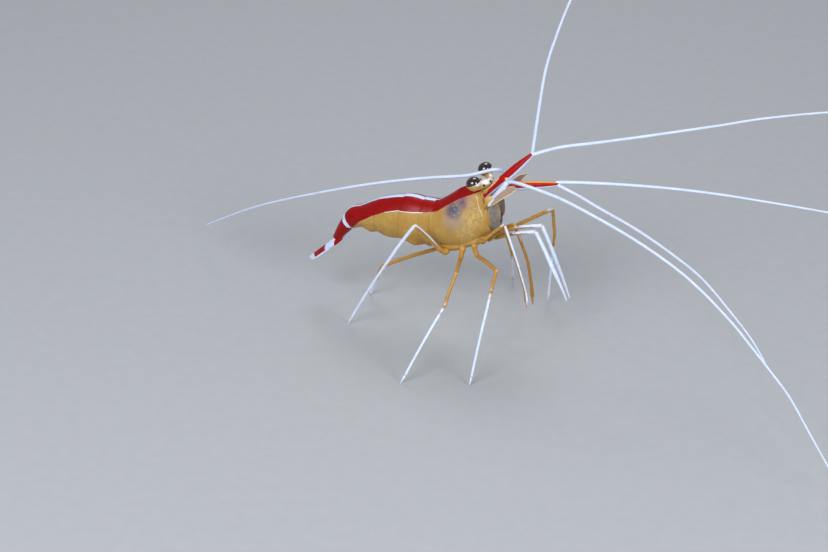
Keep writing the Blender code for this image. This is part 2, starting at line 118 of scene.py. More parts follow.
# Jointed limbs, joint by joint: inside the body, root, hip, knee, wrist, palm or ankle, tip.
# Each is (X, Y, Z) with its radius where the limb's shape takes it from here.
LEGS = {
    "maxilliped_right": [
        (12.2, -1.0, 26.6, 0.9), (14.6, -1.6, 26.5, 0.66), (17.6, -1.6, 28.0, 0.52),
        (23.5, -1.5, 29.9, 0.5), (27.6, -1.5, 21.9), (31.2, -1.5, 14.5)],
    "maxilliped_left": [
        (12.2, 1.0, 26.6, 0.9), (14.6, 1.6, 26.4, 0.66), (17.6, 1.6, 28.0, 0.52),
        (23.8, 1.5, 30.0, 0.5), (27.6, 1.5, 21.1), (30.8, 1.5, 13.4)],
    "claw_right_1": [
        (11.6, -1.6, 26.4, 1.0), (13.2, -2.5, 26.2, 0.8), (14.7, -3.1, 28.0, 0.5),
        (16.7, -3.1, 30.7, 0.42), (20.1, -2.6, 20.8), (21.7, -2.3, 15.2, 0.42), (22.2, -2.0, 10.4)],
    "claw_left_1": [
        (11.6, 1.6, 26.2, 1.0), (13.2, 2.5, 25.6, 0.8), (14.4, 3.1, 26.4, 0.5),
        (16.8, 2.95, 28.0, 0.42), (20.5, 2.2, 19.8), (21.6, 1.9, 14.2, 0.42), (22.1, 1.8, 9.4)],
    "claw_right_2": [
        (10.4, -2.0, 25.6, 1.05), (11.9, -3.1, 25.6, 0.85), (13.2, -4.3, 27.4, 0.48),
        (17.4, -4.6, 31.7, 0.4), (20.8, -4.2, 21.7), (22.4, -3.9, 16.0, 0.38), (22.9, -3.6, 11.3)],
    "claw_left_2": [
        (10.4, 2.0, 25.2, 1.05), (11.9, 3.1, 24.2, 0.85), (13.2, 4.6, 24.4, 0.48),
        (16.2, 4.7, 26.8, 0.36), (19.9, 3.8, 18.8), (21.0, 3.5, 13.1, 0.36), (21.5, 3.3, 8.6)],
    "leg_right_3": [
        (9.2, -1.8, 24.8, 1.0), (9.9, -3.1, 23.6, 0.9), (11.3, -5.0, 22.9, 0.6),
        (18.7, -12.0, 24.5, 0.45), (18.3, -14.6, 19.0), (17.2, -19.0, 6.2), (16.5, -21.0, 0.0)],
    "leg_right_4": [
        (6.6, -1.8, 23.8, 1.1), (7.0, -3.1, 22.2, 0.95), (7.5, -5.2, 21.4, 0.6),
        (9.9, -13.4, 22.4, 0.45), (9.0, -17.6, 16.3), (5.0, -23.6, 6.2), (2.5, -26.4, 0.0)],
    "leg_right_5": [
        (3.6, -1.5, 22.9, 1.2), (2.8, -2.8, 20.7, 1.05), (1.6, -4.5, 22.5, 0.6),
        (-1.4, -10.0, 30.1, 0.45), (-7.1, -9.5, 21.1), (-15.8, -8.5, 5.9), (-18.7, -8.1, 0.0)],
    "leg_left_3": [
        (9.2, 1.8, 24.8, 1.0), (9.9, 3.1, 23.4, 0.9), (11.3, 4.8, 22.6, 0.6),
        (21.9, 13.0, 28.0, 0.45), (22.0, 14.6, 21.0), (20.0, 17.9, 6.2), (19.1, 19.4, 0.0)],
    "leg_left_4": [
        (6.6, 1.8, 23.6, 1.1), (7.0, 3.1, 21.9, 0.95), (7.6, 5.0, 20.6, 0.6),
        (11.8, 11.0, 20.2, 0.45), (11.6, 15.0, 13.8), (9.4, 21.6, 5.0), (8.0, 25.4, 0.0)],
    "leg_left_5": [
        (3.6, 1.5, 22.9, 1.2), (2.8, 2.6, 20.6, 1.05), (0.6, 3.2, 18.7, 0.6),
        (-15.6, 3.6, 9.6, 0.45), (-17.4, 4.5, 5.4), (-19.2, 5.6, 1.2), (-19.7, 5.9, 0.0)],
}
# How white a limb is at evenly spaced places, 0 amber and 1 bluish white: on its upper face and
# its under face from body to knee, then the same from knee to tip.
PALENESS = {
    "maxilliped": ((0.0, 0.1, 0.5, 0.9, 1.0), (0.0, 0.0, 0.1, 0.3, 0.9),
                   (1.0, 1.0, 1.0, 1.0, 1.0), (1.0, 1.0, 1.0, 1.0, 1.0)),
    "claw_right_2": ((0.0, 0.0, 0.0, 0.1, 0.9), (0.0, 0.0, 0.0, 0.0, 0.0),
                     (1.0, 1.0, 1.0, 0.9, 0.5), (0.1, 0.0, 0.0, 0.0, 0.0)),
    "claw": ((0.0, 0.0, 0.0, 0.1, 0.3), (0.0, 0.0, 0.0, 0.0, 0.0),
             (0.5, 0.4, 0.3, 0.2, 0.1), (0.0, 0.0, 0.0, 0.0, 0.0)),
    "leg_right_3": ((0.0, 0.0, 0.0, 0.1, 0.2), (0.0, 0.0, 0.0, 0.0, 0.0),
                    (0.1, 0.6, 1.0, 1.0, 0.8), (0.0, 0.4, 1.0, 1.0, 0.8)),
    "leg_right_4": ((0.0, 0.0, 0.0, 0.1, 0.3), (0.0, 0.0, 0.0, 0.0, 0.0),
                    (0.2, 0.4, 0.9, 1.0, 0.8), (0.1, 0.3, 0.8, 1.0, 0.8)),
    "leg_right_5": ((0.0, 0.6, 1.0, 1.0, 1.0), (0.0, 0.0, 0.0, 0.0, 0.4),
                    (1.0, 1.0, 1.0, 1.0, 0.9), (0.9, 1.0, 1.0, 1.0, 0.9)),
    "leg_left_3": ((0.0, 0.0, 0.0, 0.0, 0.6), (0.0, 0.0, 0.0, 0.0, 0.2),
                   (0.1, 0.1, 0.7, 1.0, 0.8), (0.1, 0.1, 0.7, 1.0, 0.8)),
    "leg_left": ((0.0, 0.0, 0.0, 0.0, 0.1), (0.0, 0.0, 0.0, 0.0, 0.0),
                 (0.1, 0.3, 0.7, 0.7, 0.5), (0.0, 0.2, 0.6, 0.7, 0.5)),
}

# Feelers: route points; the radius falls evenly from FEELER_BASE to FEELER_TIP.
FEELER_BASE, FEELER_TIP = 0.40, 0.2
ANNULUS = 0.36                   # drawn about twice as long as the real rings, so that they show
FEELERS = {
    "antennule_right_flagellum_upper": [
        (20.75, 1.95, 46.2), (20.85, 2.25, 47.3), (21.1, 4.5, 56.0), (21.6, 6.5, 64.4),
        (22.9, 8.0, 71.0), (25.4, 10.0, 79.9), (30.0, 12.5, 92.0), (36.0, 15.0, 104.0)],
    "antennule_right_flagellum_lower": [
        (20.7, 1.9, 46.2), (21.75, 2.3, 46.75), (26.2, 5.0, 47.9), (33.2, 9.0, 48.6),
        (41.7, 14.0, 49.5), (55.2, 20.5, 51.7), (64.9, 25.0, 53.5), (77.3, 30.0, 55.2),
        (85.0, 32.5, 55.8)],
    "antennule_left_flagellum_upper": [
        (25.6, 4.95, 38.95), (26.7, 5.3, 39.4), (37.2, 7.0, 40.4), (48.0, 9.5, 40.6),
        (58.6, 12.5, 40.0), (68.9, 16.0, 38.6), (81.7, 20.0, 36.8), (93.0, 23.5, 34.6)],
    "antennule_left_flagellum_lower": [
        (25.6, 4.9, 38.85), (26.7, 4.7, 38.6), (30.9, 4.4, 37.4), (35.5, 4.0, 35.8),
        (44.8, 3.0, 32.9), (54.2, 1.0, 29.6), (61.4, -1.0, 26.5), (69.0, -4.0, 21.6),
        (74.0, -6.0, 17.9), (78.0, -8.4, 14.4)],
    "antenna_right_flagellum": [
        (16.6, -2.1, 40.3), (17.65, -2.25, 41.15), (21.5, -3.5, 41.7), (30.2, -5.5, 41.4),
        (39.7, -8.0, 40.0), (49.2, -10.5, 38.0), (58.7, -13.5, 35.4), (65.8, -16.0, 32.5),
        (73.1, -19.0, 28.7), (78.0, -21.0, 25.4), (82.8, -23.0, 22.0), (87.7, -25.0, 18.2),
        (92.9, -28.0, 13.2), (98.0, -30.0, 7.3), (100.5, -30.8, 4.2)],
    "antenna_left_flagellum": [
        (14.4, 3.7, 38.9), (14.3, 3.35, 39.9), (13.5, 2.6, 40.8), (12.0, 1.6, 41.1),
        (9.5, 0.75, 40.3), (6.0, 0.3, 39.0), (-2.2, 0.0, 36.9), (-11.6, 0.0, 34.0),
        (-20.9, 0.0, 30.7), (-31.0, 1.0, 26.3), (-42.0, 3.0, 20.9), (-50.6, 5.0, 16.0),
        (-60.1, 8.0, 9.6), (-64.5, 9.7, 6.4)],
}
SPLIT_FEELERS = ("antenna_right_flagellum", "antenna_left_flagellum")

ANTENNULES = {
    "right": [(11.3, -1.4, 35.9, 0.7), (13.7, -0.7, 38.6, 0.92), (15.9, 0.0, 40.9, 1.06),
              (18.4, 1.0, 43.7, 0.95), (20.95, 2.0, 46.6, 0.42)],
    "left": [(11.7, 1.2, 36.4, 0.7), (14.5, 2.2, 37.1, 0.9), (17.2, 3.2, 37.8, 1.02),
             (21.6, 4.2, 38.4, 0.88), (26.1, 5.0, 38.98, 0.42)],
}
ANTENNA_BASES = {
    "right": [(13.3, -2.5, 35.6, 0.6), (15.2, -2.4, 38.2, 0.64), (16.9, -2.05, 40.75, 0.5)],
    "left": [(13.3, 3.6, 35.2, 0.6), (14.2, 4.1, 37.2, 0.64), (14.4, 3.7, 39.1, 0.5)],
}
# Flat plates: base, tip, the way the face looks, width.
SCALES = {
    "right": ((13.6, -4.0, 36.1), (20.0, -5.1, 42.0), (-0.25, -0.75, 0.6), 1.8),
    "left": ((14.1, 4.6, 34.9), (17.8, 5.0, 40.1), (-0.25, 0.75, 0.6), 1.9),
}
TAIL_BLADES = {
    "telson": ((-24.9, 0.0, 17.3), (-32.3, 0.0, 10.2), 1.8),
    "uropod_right_inner": ((-25.1, -0.6, 16.6), (-31.8, -0.7, 10.3), 1.6),
    "uropod_right_outer": ((-24.9, -1.0, 16.3), (-31.4, -1.1, 10.3), 1.7),
    "uropod_left_inner": ((-25.1, 0.6, 16.6), (-31.8, 0.7, 10.3), 1.6),
    "uropod_left_outer": ((-24.9, 1.0, 16.3), (-31.4, 1.2, 10.3), 1.7),
}
STALK_ROOT = Vector((11.8, 1.05, 39.2))


def at(point):
    """A place in the animal's frame, in metres in the shared frame."""
    return HOME + Vector(point) * MM


def place_of(vertex):
    """A vertex's place in the animal's frame."""
    return (vertex.co - HOME) / MM


def between(knots, x):
    """The value at x on straight lines through (x, value) knots."""
    if x <= knots[0][0]:
        return knots[0][1]
    for (a, first), (b, second) in zip(knots, knots[1:]):
        if x <= b:
            return first + (second - first) * (x - a) / (b - a)
    return knots[-1][1]


def blend(values, place):
    """A smooth value between evenly numbered ones; place counts them from 0."""
    start = max(0, min(int(place), len(values) - 2))
    t = place - start
    before, a = values[max(start - 1, 0)], values[start]
    b, after = values[start + 1], values[min(start + 2, len(values) - 1)]
    return (a * (2 * t**3 - 3 * t**2 + 1) + (b - before) / 2 * (t**3 - 2 * t**2 + t)
            + b * (3 * t**2 - 2 * t**3) + (after - a) / 2 * (t**3 - t**2))


def along(values, fraction):
    """The straight-line value at a fraction of the way through evenly spaced ones."""
    place = max(0.0, min(fraction, 1.0)) * (len(values) - 1)
    start = min(int(place), len(values) - 2)
    return values[start] + (values[start + 1] - values[start]) * (place - start)


def smoothstep(low, high, value):
    """0 at low and 1 at high, with a soft start and end; low may be the larger."""
    t = max(0.0, min((value - low) / (high - low), 1.0))
    return t * t * (3 - 2 * t)


def square_to(ahead, up):
    """The unit vector square to ahead that leans most towards up, or to +X where up is no use."""
    out = Vector(up) - ahead * Vector(up).dot(ahead)
    if out.length < 0.05:
        out = Vector((1, 0, 0)) - ahead * ahead.x
    return out.normalized()


# ---------------------------------------------------------------- modelling by hand

def active(piece):
    """Selects the piece alone and makes it the active one."""
    bpy.ops.object.select_all(action="DESELECT")
    piece.select_set(True)
    bpy.context.view_layer.objects.active = piece


@contextmanager
def editing(piece, wanted=lambda member: True, faces=False):
    """Edit mode with the points, or faces, that the test wants, then object mode again."""
    active(piece)
    mesh = piece.data
    for group in (mesh.vertices, mesh.edges, mesh.polygons):
        group.foreach_set("select", [False] * len(group))
    members = mesh.polygons if faces else mesh.vertices
    members.foreach_set("select", [wanted(member) for member in members])
    bpy.context.tool_settings.mesh_select_mode = (not faces, False, faces)
    bpy.ops.object.mode_set(mode="EDIT")
    yield
    bpy.ops.object.mode_set(mode="OBJECT")


def modify(piece, kind, **settings):
    """Adds a modifier and applies it."""
    active(piece)
    modifier = piece.modifiers.new(kind.title(), kind)
    for key, value in settings.items():
        setattr(modifier, key, value)
    bpy.ops.object.modifier_apply(modifier=modifier.name)


def smooth(piece, levels=1):
    """Rounds the piece off by subdivision."""
    modify(piece, "SUBSURF", levels=levels, render_levels=levels)
    bpy.ops.object.shade_smooth()


def thicken(piece, wall):
    """Gives an open sheet its thickness inwards, in millimetres."""
    modify(piece, "SOLIDIFY", thickness=wall * MM, offset=-1.0, use_even_offset=True)


def fuse(piece, grid, rounds):
    """Melts bodies that overlap into one smooth skin."""
    modify(piece, "REMESH", mode="VOXEL", voxel_size=grid * MM)
    modify(piece, "SMOOTH", factor=0.5, iterations=rounds)
    bpy.ops.object.shade_smooth()


def note(piece, name, value):
    """Stores a number at each point for the finish to read.

    It is one number for all, a list of them, or what a function gives for the point's place."""
    vertices = piece.data.vertices
    if callable(value):
        value = [value(place_of(v)) for v in vertices]
    elif not isinstance(value, list):
        value = [value] * len(vertices)
    store = piece.data.attributes.get(name) or piece.data.attributes.new(name, "FLOAT", "POINT")
    store.data.foreach_set("value", value)


def pull(piece, place, shift, reach):
    """Pulls the point nearest to a place, and softly what lies within reach of it."""
    spot = Vector(place) * MM
    nearest = min(piece.data.vertices, key=lambda v: (v.co - spot).length_squared).index
    with editing(piece, lambda v: v.index == nearest):
        bpy.ops.transform.translate(
            value=Vector(shift) * MM, use_proportional_edit=True,
            proportional_edit_falloff="SMOOTH", proportional_size=reach * MM)


def turn(degrees, middle):
    """Leans what is selected about Y; the operator turns the other way when no window is open."""
    bpy.ops.transform.rotate(value=math.radians(degrees), orient_axis="Y", orient_type="GLOBAL",
                             center_override=middle)


def primitive(operator, name, **settings):
    """Adds a primitive at its size and place, and names it."""
    bpy.ops.object.select_all(action="DESELECT")
    operator(**settings)
    piece = bpy.context.object
    piece.name = piece.data.name = name
    bpy.ops.object.transform_apply(location=True, rotation=True, scale=True)
    return piece


def grow(name, stations, sides=16, closed=True):
    """A body grown by extruding a circle from station to station.

    A station is (x, z, half width, half height, lean in degrees about Y)."""
    x, z = stations[0][:2]
    piece = primitive(bpy.ops.mesh.primitive_circle_add, name, vertices=sides, radius=MM,
                      fill_type="NOTHING", location=(x * MM, 0, z * MM),
                      rotation=(0, math.radians(90), 0))
    before = (x, z, 1.0, 1.0, 0.0)
    with editing(piece):
        for number, station in enumerate(stations):
            x, z, wide, high, lean = station
            middle = (x * MM, 0, z * MM)
            if number:
                step = ((x - before[0]) * MM, 0, (z - before[1]) * MM)
                bpy.ops.mesh.extrude_region_move(TRANSFORM_OT_translate={"value": step})
            if before[4]:
                turn(before[4], middle)
            bpy.ops.transform.resize(value=(1, wide / before[2], high / before[3]),
                                     center_override=middle)
            if lean:
                turn(-lean, middle)
            before = station
        if closed:
            bpy.ops.mesh.edge_face_add()
    if closed:
        with editing(piece, lambda v: v.index < sides):
            bpy.ops.mesh.edge_face_add()
    with editing(piece):
        bpy.ops.mesh.normals_make_consistent(inside=False)
    return piece


def settle(piece, matrix):
    """Moves the piece by a matrix and leaves its object unturned at the origin."""
    piece.matrix_world = matrix
    active(piece)
    bpy.ops.object.transform_apply(location=True, rotation=True, scale=True)


def body(name, stations, sides, levels=1):
    """A closed body grown in the animal's frame, moved to its place and rounded off."""
    piece = grow(name, stations, sides)
    settle(piece, Matrix.Translation(HOME))
    smooth(piece, levels)
    return piece


def lay_along(start, end, up=(0, 0, 1)):
    """The matrix that lays a body grown along X from start to end, its Z towards up."""
    ahead = (Vector(end) - Vector(start)).normalized()
    out = square_to(ahead, up)
    turned = Matrix((ahead, out.cross(ahead), out)).transposed().to_4x4()
    return Matrix.Translation(at(start)) @ turned


def pod(name, start, end, profile, flat=1.0, up=(0, 0, 1), sides=12, levels=1):
    """A rounded body from start to end; profile is (fraction of the way, radius)."""
    length = (Vector(end) - Vector(start)).length
    piece = grow(name, [(f * length, 0, r, r * flat, 0) for f, r in profile], sides)
    settle(piece, lay_along(start, end, up))
    smooth(piece, levels)
    return piece


def tube(name, knots, dips=(), sides=20, steps=5):
    """A smooth body through knots (x, y, z, radius) that lie near one upright plane.

    It notes how far round its own axis each point faces, -1 down to 1 up; dips are the knots
    that have a joint's shallow waist."""
    points, radii = [Vector(k[:3]) for k in knots], [k[3] for k in knots]
    first, last = points[0], points[-1]
    run = Vector((last.x - first.x, last.y - first.y, 0)).normalized()
    places = sorted({i / steps for i in range(steps * (len(knots) - 1) + 1)}
                    | {d + g for d in dips for g in (-0.06, 0.0, 0.06)}
                    | {0.03, len(knots) - 1.03})
    stations = []
    for place in places:
        p = blend(points, place)
        step = blend(points, place + 0.02) - blend(points, place - 0.02)
        radius = blend(radii, place) * (0.95 if place in dips else 1.0)
        if place in (places[0], places[-1]):
            radius *= 0.7
        lean = -math.degrees(math.atan2(step.z, step.dot(run)))
        stations.append(((p - first).dot(run), p.z - first.z, radius, radius, lean))
    piece = grow(name, stations, sides)
    note(piece, "height", [math.sin(2 * math.pi * (v.index % sides) / sides)
                           for v in piece.data.vertices])
    settle(piece, Matrix.Translation(at(first))
           @ Matrix.Rotation(math.atan2(run.y, run.x), 4, "Z"))
    smooth(piece)
    return piece


def copy_of(master, name, matrix):
    """A copy of a finished shape with its own mesh, moved by a matrix."""
    mesh = master.data.copy()
    mesh.transform(matrix)
    piece = bpy.data.objects.new(name, mesh)
    bpy.context.scene.collection.objects.link(piece)
    return piece


def join(pieces, name):
    """Joins pieces into one under a new name."""
    bpy.ops.object.select_all(action="DESELECT")
    for piece in pieces:
        piece.select_set(True)
    bpy.context.view_layer.objects.active = pieces[0]
    if len(pieces) > 1:
        bpy.ops.object.join()
    pieces[0].name = pieces[0].data.name = name
    return pieces[0]


def hand_over(piece, material, slot, *nodes):
    """Gives the finished piece its finish and its place in the frame."""
    piece.data.materials.clear()
    piece.data.materials.append(material)
    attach(piece, "root")
    if nodes:
        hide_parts(*nodes)


def hoop(hoops, place, size=1.0):
    """The station for grow() at a place along a list of hoops."""
    place = min(place, len(hoops) - 1)
    top = blend([Vector(h[0]) for h in hoops], place)
    bottom = blend([Vector(h[1]) for h in hoops], place)
    wide = blend([h[2] for h in hoops], place)
    middle, spine = (top + bottom) / 2, top - bottom
    lean = math.degrees(math.atan2(spine.x, spine.y))
    return (middle.x, middle.y, wide * size, spine.length / 2 * size, lean)


# ---------------------------------------------------------------- finishes

def colour(hex_code):
    """An sRGB hex colour as linear RGBA."""
    parts = [int(hex_code[i:i + 2], 16) / 255 for i in (1, 3, 5)]
    return (*(p / 12.92 if p <= 0.04045 else ((p + 0.055) / 1.055) ** 2.4 for p in parts), 1.0)


def add(tree, kind, inputs=None, output=0, **settings):
    """Adds a node with its settings and inputs, and returns one of its outputs.

    An input is another node's output, a value, a hex colour, or the name of a number that the
    piece stores at its points."""
    node = tree.nodes.new("ShaderNode" + kind)
    for key, value in settings.items():
        setattr(node, key, value)
    for key, value in (inputs or {}).items():
        if isinstance(value, str):
            value = (colour(value) if value.startswith("#")
                     else add(tree, "Attribute", output="Fac", attribute_name=value))
        if isinstance(value, bpy.types.NodeSocket):
            tree.links.new(value, node.inputs[key])
        else:
            node.inputs[key].default_value = value
    return node.outputs[output]


def layer(tree, under, over, cover, ragged=(), edge=None, within=None, strength=1.0):
    """Lays one colour over another as far as a number from 0 to 1 says, and returns the mix.

    The cover is a node's output or a stored number. Noises, each followed by an amount, make it
    ragged by half that amount each way. An edge and its softness lay the colour only where the
    cover is below the edge. Within names a stored number that fades it."""
    for noise, amount in zip(ragged[::2], ragged[1::2]):
        swing = add(tree, "Math", {0: noise, 1: 0.5}, operation="SUBTRACT")
        cover = add(tree, "Math", {0: swing, 1: amount, 2: cover}, operation="MULTIPLY_ADD")
    if edge:
        limit, softness = edge
        cover = add(tree, "MapRange", {"Value": cover, "From Min": limit - softness,
                                       "From Max": limit + softness, "To Min": 1.0,
                                       "To Max": 0.0}, interpolation_type="SMOOTHSTEP")
    if within:
        cover = add(tree, "Math", {0: cover, 1: within}, operation="MULTIPLY")
    if strength < 1:
        cover = add(tree, "Math", {0: cover, 1: strength}, operation="MULTIPLY")
    # A Mix node's colours go into its sockets 6 and 7 and come out of its output 2.
    return add(tree, "Mix", {0: cover, 6: under, 7: over}, 2, data_type="RGBA")


def new_finish(name, grains, **constants):
    """A material with a Principled shader, its constant sockets set by name.

    It returns the material, its tree, and a noise on the object's own coordinates for each
    grain, which is (size of a blot in millimetres, detail)."""
    material = bpy.data.materials.new(name)
    material.use_nodes = True
    tree = material.node_tree
    for key, value in constants.items():
        socket = key.replace("_", " ").title().replace("Ior", "IOR")
        tree.nodes["Principled BSDF"].inputs[socket].default_value = value
    place = add(tree, "TexCoord", output="Object")
    noises = [add(tree, "TexNoise", {"Vector": place, "Scale": 1 / (size * MM),
                                     "Detail": detail, "Roughness": 0.55})
              for size, detail in grains]
    return (material, tree, *noises)


def finished(material, surface, relief=None, strength=0.15, depth=0.05):
    """Links the surface's colour, and its fine relief as bump, depth millimetres high."""
    tree = material.node_tree
    sockets = tree.nodes["Principled BSDF"].inputs
    tree.links.new(surface, sockets["Base Color"])
    if relief:
        bump = add(tree, "Bump", {"Height": relief, "Strength": strength, "Distance": depth * MM})
        tree.links.new(bump, sockets["Normal"])
    return material


# Chitin is satin under a thin waxy coat.
SATIN = {"roughness": 0.4, "coat_roughness": 0.15}


def shell_finish():
    """Satin translucent chitin over tissue. It reflects as little as it does under water."""
    material, tree, fine, broad, blotch, patch, cloud, fleck, spark, pores = new_finish(
        "chitin_shell", ((0.3, 3), (0.9, 4), (3.0, 3), (1.3, 3), (0.7, 3), (0.4, 1), (0.7, 2),
                         (0.12, 2)),
        **SATIN, coat_weight=0.05, ior=1.25, subsurface_weight=0.3, subsurface_scale=0.0015,
        subsurface_radius=(1.0, 0.5, 0.2))
    amber = layer(tree, "#9C7436", "#BE9858", blotch)
    amber = layer(tree, amber, "#8C6830", fine, edge=(0.44, 0.12), strength=0.3)
    amber = layer(tree, amber, "#8A560F", "belly")
    amber = layer(tree, amber, "#A6752A", patch, edge=(0.52, 0.08), strength=0.35)
    amber = layer(tree, amber, "#CDB27C", cloud, edge=(0.54, 0.2), within="bloom", strength=0.65)
    amber = layer(tree, amber, "#7A5426", fleck, edge=(0.27, 0.05), strength=0.5)
    amber = layer(tree, amber, "#A08878", "haze", strength=0.85)
    amber = layer(tree, amber, "#86606E", "mauve", strength=0.85)
    gut = layer(tree, "#626278", "#3A323C", broad, edge=(0.5, 0.2))
    tissue = layer(tree, amber, gut, "gut", strength=0.95)
    tissue = layer(tree, tissue, "#B8C2DA", spark, edge=(0.34, 0.07), within="glint")
    tissue = layer(tree, tissue, "#DDD8DE", "line_gap", (broad, 0.3, fine, 0.2), (0.0, 0.04))
    tissue = layer(tree, tissue, "#D8C4A4", "margin")
    seam = add(tree, "Math", {0: "seam"}, operation="ABSOLUTE")
    seam = add(tree, "Math", {0: seam, 1: "seam_end"}, operation="ADD")
    tissue = layer(tree, tissue, "#DCCDB4", seam, (broad, 0.16), (0.05, 0.06))
    scarlet = layer(tree, "#760202", "#940202", broad)
    surface = layer(tree, tissue, scarlet, "red_gap", (broad, 0.3), (0.0, 0.04))
    for white, shake in (("stripe_gap", 0.12), ("band", 0.3)):
        surface = layer(tree, surface, "#C4D2EC", white, (broad, shake), (0.0, 0.05))
    # Real pores are a few hundredths of a millimetre; here and on the limbs they are drawn at
    # about 0.1 mm so that they show.
    return finished(material, surface, pores, strength=0.1)


def limb_finish():
    """Thin chitin tubes: amber near the body, bluish white further out, orange at the joints."""
    material, tree, broad, pores = new_finish(
        "chitin_limb", ((0.9, 3), (0.1, 2)), **SATIN, coat_weight=0.08, ior=1.3,
        subsurface_weight=0.25, subsurface_scale=0.0006)
    amber = layer(tree, "#8E6424", "#BE9248", broad)
    white = layer(tree, "#B4C4E0", "#DCE6F8", broad)
    limb = layer(tree, white, amber, "pale", (broad, 0.5), (0.5, 0.12))
    limb = layer(tree, "#D9A867", limb, "joint", (broad, 0.3), (0.55, 0.1))
    return finished(material, limb, pores)


def antennule_finish():
    """Scarlet above, white below, with a thin translucent orange ridge on top."""
    material, tree, broad, pores = new_finish(
        "chitin_antennule", ((0.8, 3), (0.1, 2)), **SATIN, coat_weight=0.06, ior=1.25,
        subsurface_weight=0.15, subsurface_scale=0.0008)
    scarlet = layer(tree, "#840203", "#A80404", broad)
    skin = layer(tree, scarlet, "#BECBE2", "height", (broad, 0.14), (-0.1, 0.05))
    skin = layer(tree, "#C98A3C", skin, "ridge", edge=(0.0, 0.05))
    skin = layer(tree, "#DCC08C", skin, "joint", (broad, 0.6), (0.45, 0.1))
    return finished(material, skin, pores)


def feeler_finish():
    """Chalky white rings of chitin with faintly darker joints between them."""
    material, tree, broad = new_finish(
        "chitin_feeler", ((2.5, 3),), roughness=0.5, ior=1.5, subsurface_weight=0.15,
        subsurface_scale=0.0004)
    white = layer(tree, "#AEBCDA", "#D2DCF0", broad)
    return finished(material, layer(tree, white, "#8C9CC0", "ring", strength=0.28))


def blade_finish():
    """Tail blades: scarlet down the middle with bluish white bases, edges and tips."""
    material, tree, broad, pores = new_finish(
        "chitin_blade", ((0.7, 3), (0.09, 2)), **SATIN, coat_weight=0.06, ior=1.25,
        subsurface_weight=0.2, subsurface_scale=0.0006)
    scarlet = layer(tree, "#780202", "#9C0404", broad)
    white = layer(tree, "#9FB2D8", "#D2DEF4", broad)
    across = add(tree, "Math", {0: "across", 1: "edge"}, operation="MULTIPLY")
    skin = layer(tree, white, scarlet, across, (broad, 0.2), (0.55, 0.06))
    skin = layer(tree, white, skin, "along", (broad, 0.12), (0.82, 0.03))
    skin = layer(tree, skin, white, "along", (broad, 0.12), (0.42, 0.03))
    return finished(material, skin, pores)


def cornea_finish():
    """Wet, near-black facets with a deep brown glow."""
    material, tree, glow = new_finish(
        "cornea", ((0.8, 2),), roughness=0.12, coat_weight=1.0, coat_roughness=0.02, ior=1.45)
    # Real facets are 0.03 mm; drawn at 0.09 mm so that they show at all.
    facets = add(tree, "TexVoronoi", {"Vector": add(tree, "TexCoord", output="Object"),
                                      "Scale": 1 / (0.09 * MM)}, "Distance")
    return finished(material, layer(tree, "#0D0506", "#2C1210", glow), facets, strength=0.05,
                    depth=0.02)


def stalk_finish():
    """Eyestalk skin: white above, tan below, wet, with one black spot."""
    material, tree, broad = new_finish(
        "stalk_skin", ((0.5, 3),), roughness=0.32, coat_weight=0.35, coat_roughness=0.1,
        ior=1.3, subsurface_weight=0.25, subsurface_scale=0.0006)
    skin = layer(tree, "#D8D4DA", "#B08A50", "height", (broad, 0.5), (0.8, 0.15))
    return finished(material, layer(tree, "#120A0C", skin, "spot", edge=(0.4, 0.1)))


def plate_finish(name, dark, light, rim, see_through=1.0):
    """Thin horny plates a little darker in the middle than along their rim."""
    material, tree, broad, frayed, pores = new_finish(
        name, ((0.6, 3), (0.5, 2), (0.1, 2)), roughness=0.35, coat_weight=0.1,
        coat_roughness=0.1, ior=1.3, subsurface_weight=0.3, subsurface_scale=0.0006,
        alpha=see_through)
    plate = layer(tree, dark, light, broad)
    plate = layer(tree, rim, plate, "across", (frayed, 0.1), (0.88, 0.05))
    return finished(material, plate, pores)


def bristle_finish(name, dark, light):
    """Fine translucent setae."""
    material, tree, broad = new_finish(name, ((0.5, 2),), roughness=0.45, ior=1.5)
    return finished(material, layer(tree, dark, light, broad))


SHELL = shell_finish()
LIMB = limb_finish()
ANTENNULE = antennule_finish()
FEELER = feeler_finish()
BLADE = blade_finish()
CORNEA = cornea_finish()
STALK = stalk_finish()
SCALE = plate_finish("chitin_scale", "#8C7664", "#B29C8A", "#E8D9B8")
PALE_JOINT = plate_finish("chitin_pale_joint", "#BEBAC2", "#DADAE2", "#EEEFF4")
MEMBRANE = plate_finish("chitin_membrane", "#6A6560", "#AAA29A", "#B4ACA0", 0.6)
PLATE_AMBER = plate_finish("chitin_amber_plate", "#AA8450", "#CDAA74", "#E0CCA0")
BRISTLE = bristle_finish("pale_setae", "#D9C7A8", "#F3EEE4")
BRISTLE_AMBER = bristle_finish("amber_setae", "#A68449", "#CDB27A")


# ---------------------------------------------------------------- body shells

def blot(place, middle, reach, strength):
    """Its strength in the middle of a soft-edged blot, 0 at its rim."""
    gap = Vector((place.x - middle[0], place.z - middle[1])).length
    return max(0.0, 1 - (gap / reach) ** 2) * strength


